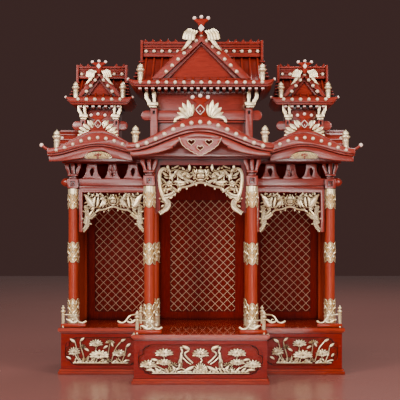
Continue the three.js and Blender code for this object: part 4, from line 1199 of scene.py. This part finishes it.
crests = {
    "centre": {"x": 0, "y": -173, "diamond": (566, 8.6, 9.6), "ballRadius": 4.2,
               "pearls": (15.5, 591.5, 594.5),
               "mound": [(30, 541), (27, 549), (18, 555), (12, 560), (10, 568), (9, 574), (7.5, 580),
                         (13, 583), (19, 587.5), (19.5, 591.5), (8, 591), (0, 592.5)],
               "leaves": [(-17, 553, 80, 24, 9, 10), (-19, 552, 98, 35, 12, 6), (-21, 551, 116, 33, 12.5, 4),
                          (-23, 550, 136, 29, 12, -4), (-25, 549.5, 156, 25, 10, -8)],
               "scroll": [(-24, 550), (-34, 552), (-43, 551), (-50, 546.5), (-51.5, 541)]},
    "side": {"x": 225, "y": -53, "diamond": (552, 7.0, 8.2), "ballRadius": 3.6, "pearls": (15, 571, 573.6),
             "mound": [(22, 528), (19, 535), (13, 541), (9, 545), (8, 552), (8.5, 558), (7, 562), (13, 565),
                       (17, 568), (17.5, 571.5), (7, 570.5), (0, 571.5)],
             "leaves": [(-9, 548, 112, 15, 7, 30), (-12, 543, 116, 20, 10, 14), (-17, 539, 136, 20, 11, 8),
                        (-23, 535, 150, 20, 11, 4), (-29, 531, 160, 16, 8, 0)],
             "scroll": [(-20, 537), (-28, 533), (-35, 529), (-41, 526)]},
}


def makeCrest(name, plan, way):
    y = plan["y"]
    red = [plate(twinned(plan["mound"]), y - 0.5, y + 5, soft=0.8)]
    middle, wide, tall = plan["diamond"]
    border = diamondLine(wide, tall, middle, 0.22)
    silver = [blade([(x, y - 1.6, z) for x, z in border + border[:1]], 1.7, 2.2, 6),
              ball(0, y - 2.6, middle - tall * 0.35, 1.0, 1.6, 0.8, 8)]
    gem = [ball(0, y - 0.6, middle, wide * 0.86, tall / wide, 0.3, 16)]
    reach, low, high = plan["pearls"]
    pearls = [ball(x, y, z, plan["ballRadius"]) for x, z in ((-reach, low), (0, high), (reach, low))]
    gold = []
    for x, z, heading, length, width, turn in plan["leaves"]:
        gold.append(leaf(x, z, heading, length, width * 0.84, y - 0.5, turn, 5, peak=0.55))
        gold.append(leaf(x, z, heading, length * 0.9, width * 0.3, y - 2.4, turn, 1.6))
    scroll = smoothPath(plan["scroll"], 3, y)
    gold += [blade(scroll, swell(len(scroll), 7, 0.7, 0.7, 0.6), 5),
             ball(scroll[-1].x, y - 0.5, scroll[-1].z + 1, 3.6, 1, 0.8)]
    for piece, parts, finish, *replaced in (
            ("mound", red, pedimentWood, f"{name}_gable_crest"), ("diamond_frame", silver, pearl),
            ("diamond", gem, darkAndShadeWood), ("pearls", pearls, pearl), ("leaves", bothSides(gold), brightGold)):
        makePiece(f"{name}_crest_{piece}", parts, finish, replaced, hand(way, plan["x"]))


makePendant()
makeCrest("centre", crests["centre"], 1)
for side, way in hands.items():
    makeFan(side, way)
    makeCrest(side, crests["side"], way)
print("gable ornaments ready")

# Openwork valances: half of each is laid out, then mirrored.

valance = {
    "centre": {
        "x": 0, "y": -109, "thick": 5.5,
        "frame": ([(-70, 449), (-77, 451), (-83, 448), (-87, 440), (-87.6, 428), (-86.6, 415), (-84.2, 403),
                   (-80, 393), (-75, 385)], [3, 6, 8, 8.5, 8.5, 8.5, 9, 10, 12]),
        "strips": [
            ([(-78, 388), (-71, 381), (-70, 373), (-74, 366), (-80, 361), (-88, 355.6)],
             [12, 13, 14, 13, 9, 2]),
            ([(-85, 382), (-76, 380), (-67, 382)], [3, 3.6, 3]),
            ([(-78, 391), (-70, 392), (-62, 395.5), (-54, 402)], [6, 9, 8.5, 2]),
            ([(-84, 408), (-74, 408.5), (-62, 405.5), (-46.5, 401.5)], [3, 4.5, 4, 2.5]),
            ([(-66, 414), (-58, 410), (-50, 404), (-46.6, 401)], [3.5, 4, 4, 3]),
            ([(0, 421.6), (-7, 420.6), (-15, 417.4), (-24, 414), (-34, 411.6), (-41, 411), (-46, 407),
              (-48.4, 401)],
             [5, 5, 4.6, 4.6, 4.6, 4.8, 4.4, 3]),
            ([(0, 424.5), (-6, 427), (-11, 431), (-15.5, 437), (-17, 446), (-16, 450)],
             [4, 3.4, 3, 2.8, 2.4, 2]),
            ([(-86, 431), (-79, 427), (-73, 420), (-64, 413), (-52, 404)], [3.4, 3, 3, 2.8, 2.6]),
            ([(-84, 412), (-77, 417), (-70, 419)], [3.4, 3, 2.6]),
            ([(-71, 447), (-62, 446), (-53, 448.4), (-45, 446), (-37, 443.6), (-28, 447)],
             [4, 3, 3, 3, 3.2, 4]),
            ([(-17, 437), (-25, 431), (-33, 432), (-40, 438), (-44, 445)], [3, 3, 3, 3, 3]),
        ],
        "leaves": [
            (-69.8, 447, 90, 13, 9, 0), (-24, 445, 90, 15, 9, 0), (-58, 452, 15, 13, 5.5, 20),
            (-66, 428, 62, 19, 10, -40), (-60, 424, 95, 21, 10, 30), (-56, 424, -14, 26, 13, 22),
            (-52, 416, 6, 22, 9, 14), (-37, 428, 120, 18, 9, 40), (-40, 434, 62, 15, 8, -60),
            (-57, 438, 40, 18, 8, -30), (-63, 442, 125, 13, 7, 0), (-80, 444, -60, 15, 7, 50),
            (-30, 427, -28, 17, 8, 26), (-21, 423, 168, 17, 7, -30), (-47, 449, -150, 14, 6, 40),
            (-33, 447, 150, 11, 6, -30), (-78, 434, -30, 12, 6, 30), (-72, 404, 40, 14, 7, -30),
            (-78, 398, 70, 12, 6, 20), (-26, 419, 130, 12, 6, 20), (-44, 412, 100, 12, 6, 40),
            (-84, 386, 150, 6, 5, 0), (-76, 374, 200, 10, 6, 30), (-66, 387, 20, 9, 5, 30),
            (-9, 419, -100, 6, 5, 0), (-29, 411, -100, 5.5, 5, 0),
        ],
        "flowers": [(-66, 418.5, 6.4), (-27.5, 436.5, 4.6), (-47, 439, 4.4)],
        "urn": (424.6, 10.6, 31), "fill": (50, 401, 424, 84, 453, 392),
    },
    "side": {
        "x": 198.1, "y": 3, "thick": 5,
        "frame": ([(-66, 401), (-60, 396), (-55, 389), (-50, 381), (-44, 374.5)], [3, 8, 13, 16, 12]),
        "strips": [
            ([(-0, 373.6), (-7, 371.8), (-14, 368.8), (-22, 366.8), (-31, 366), (-37, 363), (-40.8, 359)],
             [4.6, 4.4, 4.2, 4.2, 4.4, 4, 2.5]),
            ([(-62, 376), (-60, 366), (-59, 356), (-60, 345), (-62.5, 335)], [6, 9, 11, 13, 13]),
            ([(-57, 345), (-58, 335), (-62, 326), (-69.5, 317.8)], [9, 11, 9, 2]),
            ([(-56, 350), (-51, 350), (-45, 354), (-41, 358)], [6, 7, 6, 2]),
            ([(-44, 368), (-48, 362), (-52, 357), (-57, 352)], [4, 4, 5, 5]),
            ([(0, 376), (-6, 379), (-10, 384), (-12, 392), (-15, 398)], [3.6, 3, 2.6, 2.4, 2]),
            ([(-12, 380), (-20, 378), (-28, 376), (-36, 371)], [3, 3, 3, 3]),
            ([(-16, 397), (-24, 393), (-32, 397), (-42, 398), (-52, 396)], [3, 3, 3, 3, 3]),
            ([(-66, 381), (-60, 383), (-52, 384)], [2, 3.4, 4]),
            ([(-67, 371), (-61, 373), (-56, 377)], [2, 3.4, 4]),
        ],
        "leaves": [
            (-64, 399, -52, 32, 15, 20), (-44, 376, 88, 22, 10, -20), (-37, 372, 72, 25, 11, 20),
            (-31, 372, 48, 22, 10, 30), (-24, 371, 80, 22, 8, -30), (-40, 396, 20, 12, 6, 30),
            (-22, 392, 110, 13, 7, 20), (-30, 389, 30, 14, 7, -30), (-48, 394, 60, 11, 6, 0),
            (-15, 376, 130, 16, 7, -30), (-56, 398, 80, 9, 6, 0), (-62, 361, 160, 8, 5, 0),
            (-52, 345, 30, 9, 6, 20), (-54, 336, -20, 7, 5, 0), (-65, 346, 170, 6, 5, 0),
            (-35, 398, 110, 8, 6, 0), (-20, 364, -110, 5, 5, 0), (-10, 367.5, -100, 5, 5, 0),
            (-50, 366, 30, 12, 6, 30), (-28, 398, 95, 8, 6, 0),
        ],
        "flowers": [(-19, 386, 4.8), (-46, 388, 4.4)],
        "urn": (376.5, 8.8, 25), "fill": (44, 362, 376, 62, 399, 366),
    },
}


def along(path, sizes):  # widths given at the knots, spread over the smoothed path
    spots = [index / (len(path) - 1) * (len(sizes) - 1) for index in range(len(path))]
    lows = [min(int(spot), len(sizes) - 2) for spot in spots]
    return [sizes[low] + (sizes[low + 1] - sizes[low]) * (spot - low) for low, spot in zip(lows, spots)]


def flower(x, y, z, size, petals=7):
    parts = [ball(x, y - size * 0.25, z, size * 0.36, 0.9, 0.8, 8)]
    for petal in range(petals):
        heading = 90 + petal * 360 / petals
        parts.append(leaf(x, z, heading, size * 1.2, size * 0.72, y, 10, size * 0.6, 0.65, steps=4, sides=6))
    return parts


def urn(z, half, tall):  # a lidded bowl with crossed bands, set between upright sprays
    front = -2
    parts = [ball(0, front, z + tall * 0.36, half * 0.76, 0.84, 0.5, 16),
             ball(0, front, z + tall * 0.66, half * 0.6, 0.8, 0.5, 14),
             ball(0, front, z + tall * 0.92, half * 0.2, 1.2, 0.6, 8),
             board((-half * 0.84, front - 2.6, z + tall * 0.55), (half * 0.84, front + 2.6, z + tall * 0.62),
                   0.9),
             board((-half * 0.5, front - 2.2, z + tall * 0.04), (half * 0.5, front + 2.2, z + tall * 0.12),
                   0.8)]
    band = [(-half * 0.66, front - 2.2, z + tall * 0.5), (0, front - half * 0.42, z + tall * 0.36),
            (half * 0.56, front - 2.2, z + tall * 0.19)]
    spray = [leaf(half * 0.9, z + tall * rise, heading, tall * 0.34, 3.6, 0, 20, 2.6, steps=5, sides=6)
             for heading, rise in ((86, 0.5), (64, 0.4), (38, 0.3))]
    return parts + bothSides([blade(band, [1.5, 1.9, 1.5], 1.6, 6)] + spray)


def smallSprays(plan):  # small leaves that fill the gaps between the main scrolls
    innerHalf, spring, crown, outerHalf, top, foot = plan["fill"]
    scatter = random.Random(3)
    pitch = 6.4
    parts = []
    for column in range(int(outerHalf / pitch)):
        x = -pitch * (column + 0.7)
        arch = spring + (crown - spring) * math.cos(min(-x / innerHalf, 1) * math.pi / 2) + 4
        z = arch if -x < innerHalf else foot
        while z < top:
            heading = scatter.uniform(0, 360)
            parts.append(leaf(x + scatter.uniform(-1.5, 1.5), z + scatter.uniform(-1.5, 1.5), heading, 7.5,
                              3.0, 0.8, scatter.uniform(-40, 40), 2.6, steps=4, sides=6))
            z += pitch
    return parts


def valanceParts(plan):
    thick = plan["thick"]
    knots, widths = plan["frame"]
    path = smoothPath(knots, 3)
    sizes = along(path, widths)
    half = [blade(path, sizes, thick), blade(smoothPath(knots, 3, -thick * 0.42),
                                             [size * 0.32 for size in sizes], 2.2, 6)]
    for knots, widths in plan["strips"]:
        path = smoothPath(knots, 3)
        sizes = along(path, widths)
        half.append(blade(path, sizes, thick * 0.8, 7))
        if max(widths) > 6:  # a broad scroll has a raised rib and curled leaflets
            half.append(blade(smoothPath(knots, 3, -thick * 0.32), [size * 0.28 for size in sizes], 2, 6))
            for start, end in zip(path, path[1:]):
                course = math.degrees(math.atan2(end.z - start.z, end.x - start.x))
                half += [leaf(start.x, start.z, course + way * 52, 5.6, 2.6, -thick * 0.5, way * 35, 2.2,
                              steps=4, sides=6)
                         for way in (-1, 1)]
    for number, (x, z, heading, length, width, turn) in enumerate(plan["leaves"]):
        y = -0.8 - 1.1 * (number % 3)
        half.append(leaf(x, z, heading, length, min(width * 0.76, 6.8), y, turn, thick * 0.7, 0.5, steps=6))
        if width >= 6:  # a raised midrib
            half.append(leaf(x, z, heading, length * 0.92, width * 0.26, y - thick * 0.3, turn, 1.6, 0.4,
                             steps=5, sides=6))
    for x, z, size in plan["flowers"]:
        half += flower(x, -1.6, z, size)
    return bothSides(half + smallSprays(plan)) + urn(*plan["urn"])


def makeValances():
    for name, kind, way in (("centre", "centre", 1), ("left", "side", -1), ("right", "side", 1)):
        plan = valance[kind]
        place = Matrix.Translation((plan["x"] * way, plan["y"], 0))
        makePiece(f"{name}_openwork_valance", valanceParts(plan), castGold, [f"{name}_valance"], place)


makeValances()
print("valances ready")


# Cusped border of the carved panels.

panelBorder = {"middle": 51.65, "half": 31,
               "corner": [(0, 0), (2.5, 7), (9, 10), (10.5, 13), (10, 18), (15, 25), (21, 27), (24, 30.6),
                          (32, 31)],
               # the groove line is a near-black tube laid on the panel: painted shade in the cusped groove
               "lines": (("groove", 0, 1.5, 1.0, grooveShadeWood), ("bead", 1.6, 1.3, 2.0, edgeWood)),
               "fields": {"centre": (0, 129.5, -140.2), "left": (-218.3, 84.6, -18.2),
                          "right": (218.3, 84.6, -18.2)}}


def cuspedLine(half):
    corner = [(half - inset, z) for inset, z in panelBorder["corner"]]
    loop = twinned(softLine(corner, 3) + [(0, corner[-1][1])])
    return loop + [(x, -z) for x, z in loop[-2:0:-1]]


def makePanelBorders():
    for name, (x, half, y) in panelBorder["fields"].items():
        loop = cuspedLine(half)
        for piece, inset, width, deep, finish in panelBorder["lines"]:
            path = [(x + px * (1 - inset / half), y,
                     panelBorder["middle"] + pz * (1 - inset / panelBorder["half"]))
                    for px, pz in loop + loop[:1]]
            makePiece(f"{name}_panel_{piece}", [blade(path, width, deep, 6)], finish)


makePanelBorders()


# Cast lotus reliefs on the base.

def lotus(x, z, wide, tall, y, lean):
    # rows of pointed petals: first and last heading, reach, width, how far forward, number
    rows = ((-14, 194, 1.0, 0.125, 0, 9), (22, 158, 0.66, 0.12, 1.8, 6), (212, 328, 0.6, 0.14, 0.9, 4))
    foot = z - tall * 0.12
    parts = []
    for first, last, reach, width, forward, number in rows:
        for petal in range(number):
            angle = math.radians(first + (last - first) * petal / (number - 1)) + lean * 0.4
            outX, outZ = math.cos(angle) * wide / 2 * reach, math.sin(angle) * tall * 0.6 * reach
            parts.append(leaf(x + outX * 0.14, foot + outZ * 0.14, math.degrees(math.atan2(outZ, outX)),
                              math.hypot(outX, outZ) * 0.88, wide * width, y - forward, 0, 3.2, 0.6, steps=4,
                              sides=6, end=0.02))
    return parts


def budSpray(x, z, heading, length, y):
    parts = [leaf(x, z, heading, length, length * 0.34, y - 0.6, 0, 3.6, 0.5)]
    for turn in (-16, 16):
        parts.append(leaf(x, z, heading + turn, length * 0.8, length * 0.24, y, -turn, 3, 0.5, steps=5,
                          sides=6))
    return parts


def shellLeaf(x, z, wide, tall, y, ribs, opening):
    parts = []
    for rib in range(ribs):
        share = rib / (ribs - 1) - 0.5
        angle = math.radians(90 - share * opening)
        tipX, tipZ = math.cos(angle) * wide / 2, max(math.sin(angle), 0.12) * tall
        length = math.hypot(tipX, tipZ)
        parts.append(leaf(x + tipX * 0.1, z + tipZ * 0.1, math.degrees(math.atan2(tipZ, tipX)),
                          length * 0.92, wide * 0.095,
                          y - 0.8 * (rib % 2), 0, 3.2, 0.7, steps=4, sides=6, end=0.1))
    return parts


def heron(x, z, y):  # a slim standing bird that looks to the right, z at its feet
    body = smoothPath([(x - 1, z + 14), (x + 1, z + 22), (x + 0.5, z + 30)], 3, y - 0.8)
    neck = smoothPath([(x + 0.5, z + 29), (x + 3.2, z + 34), (x + 1.2, z + 39), (x + 0.4, z + 42)], 3,
                      y - 0.8)
    parts = [blade(body, swell(len(body), 6.4, 0.4, 0.4), 4.4),
             blade(neck, [4.0 - 1.2 * index / len(neck) for index in range(len(neck))], 3.4, 6),
             ball(x + 0.6, y - 1, z + 42.4, 2.5, 0.9, 0.8, 8),
             leaf(x + 1.4, z + 42.2, 0, 6.5, 1.9, y - 0.8, 0, 1.8)]
    for offset in (-1.6, 1.8):
        parts.append(stem([(x + offset, y, z + 15), (x + offset * 1.2, y, z + 7), (x + offset * 0.9, y, z)],
                          1.4))
    for heading in (250, 272, 292):
        parts.append(leaf(x - 1.4, z + 20, heading, 12, 2.6, y - 1.2, 0, 2.6, steps=5, sides=6))
    return parts


def groundLine(low, high, z, y, seed):
    rocks = random.Random(seed)
    parts = [board((low, y - 1.4, z - 1.8), (high, y + 2, z + 0.2), 0.8)]
    x = low + 5
    while x < high - 4:
        size = rocks.uniform(2.2, 4.0)
        parts.append(ball(x, y - 0.2, z + 0.8 + rocks.uniform(0, 1.2), size, rocks.uniform(0.5, 0.8), 0.45,
                          8))
        parts.append(leaf(x, z + 1.5, rocks.uniform(20, 160), rocks.uniform(8, 15), rocks.uniform(2.4, 4),
                          y - 0.6, rocks.uniform(-50, 50), 3, steps=5, sides=6))
        x += rocks.uniform(5.5, 8.5)
    return parts


relief = {
    "centre": {
        "y": -141, "lotus": [(-75.5, 66.5, 38, 18, 0.25), (-108.5, 42.5, 35, 19, 0), (-76, 47, 32, 14, -0.2)],
        "buds": [(-22, 73, 154, 18)], "shells": [(-56, 39, 18, 8, 6, 170), (-64, 26, 22, 11, 6, 150)],
        "stalks": [([(-24, 71), (-33, 64), (-26, 54), (-16, 45)], 3.4),
                   ([(-37, 56), (-29, 48), (-20, 42)], 2),
                   ([(-76, 58), (-74, 50), (-66, 40), (-60, 30)], 1.6),
                   ([(-106, 34), (-100, 28), (-92, 25)], 1.6), ([(-94, 40), (-84, 35), (-74, 30)], 2),
                   ([(-62, 42), (-54, 35), (-46, 31)], 2), ([(-50, 30), (-40, 34), (-30, 30)], 2.2)],
        "leaves": [(-96, 30, 170, 18, 5.5, 20), (-88, 50, 165, 15, 5, 10), (-46, 34, 60, 12, 5, 30),
                   (-84, 27, 150, 14, 5, -20), (-52, 28, 120, 12, 5, 0)],
    },
    "side": {
        "y": -19,
        "lotus": [(-4.4, 70, 31, 18, 0.2), (46.6, 48, 31, 18, 0), (3, 45, 45, 21, 0), (-53, 52, 27, 21, 0.3)],
        "buds": [(-50, 71, 145, 15), (-40, 74, 40, 13), (50, 73, 30, 13), (62, 61, 40, 14)],
        "shells": [(26.6, 70, 22, 8, 7, 170), (-34, 58, 16, 10, 7, 170), (-28, 30, 20, 9, 6, 170),
                   (22, 29, 18, 8, 6, 170)],
        "stalks": [([(-4, 61), (-6, 52), (-12, 40), (-16, 28)], 1.6), ([(46, 39), (44, 33), (40, 27)], 1.6),
                   ([(-51, 70), (-48, 60), (-46, 46), (-40, 30)], 1.6),
                   ([(-40, 73), (-38, 62), (-34, 48), (-30, 32)], 2),
                   ([(26, 69), (24, 56), (22, 42), (20, 30)], 1.6),
                   ([(50, 72), (40, 60), (34, 44), (30, 30)], 2),
                   ([(62, 60), (60, 48), (56, 36), (52, 27)], 2), ([(-52, 46), (-46, 36), (-40, 28)], 2)],
        "leaves": [(-60, 34, 140, 12, 5, 20), (66, 40, 40, 10, 5, 20), (-20, 52, 140, 13, 5, 20),
                   (12, 58, 40, 12, 5, -20), (34, 62, 120, 12, 5, 0)],
    },
}


def plants(plan):
    y = plan["y"]
    parts = [blade(smoothPath(points, 3, y), width, 2.2, 6) for points, width in plan["stalks"]]
    parts += [leaf(x, z, heading, length, width, y, turn, 3) for x, z, heading, length, width,
              turn in plan["leaves"]]
    for x, z, wide, tall, lean in plan["lotus"]:
        parts += lotus(x, z, wide, tall, y, lean)
    for bud in plan["buds"]:
        parts += budSpray(*bud, y)
    for x, z, wide, tall, ribs, opening in plan["shells"]:
        parts += shellLeaf(x, z, wide, tall, y, ribs, opening)
    return parts


def centreRelief():
    y = relief["centre"]["y"]
    half = plants(relief["centre"]) + heron(-41, 34.5, y) + [leaf(-34, 28, 20, 24, 7, y - 0.6, 14, 3.4)]
    middle = lotus(0, 65.5, 35, 21, y, 0) + shellLeaf(0, 27, 31, 19, y - 0.6, 11, 176)
    middle += [blade(smoothPath([(0, 55), (3, 50), (0, 46)], 3, y), 2.4, 2.2, 6),
               ball(0, y - 1.6, 30.5, 3, 1, 0.6, 8)]
    return bothSides(half) + middle + groundLine(-101, 101, 24.6, y, 5)


def sideRelief():
    y = relief["side"]["y"]
    return plants(relief["side"]) + groundLine(-56, 24, 27, y, 11) + groundLine(30, 67, 27, y, 12)


for name, makeParts, x in (("centre", centreRelief, 0), ("left", sideRelief, -229.6),
                           ("right", sideRelief, 222)):
    makePiece(f"{name}_lotus_casting", makeParts(), castGold, [f"{name}_lotus_relief"],
              Matrix.Translation((x, 0, 0)))
print("reliefs ready")
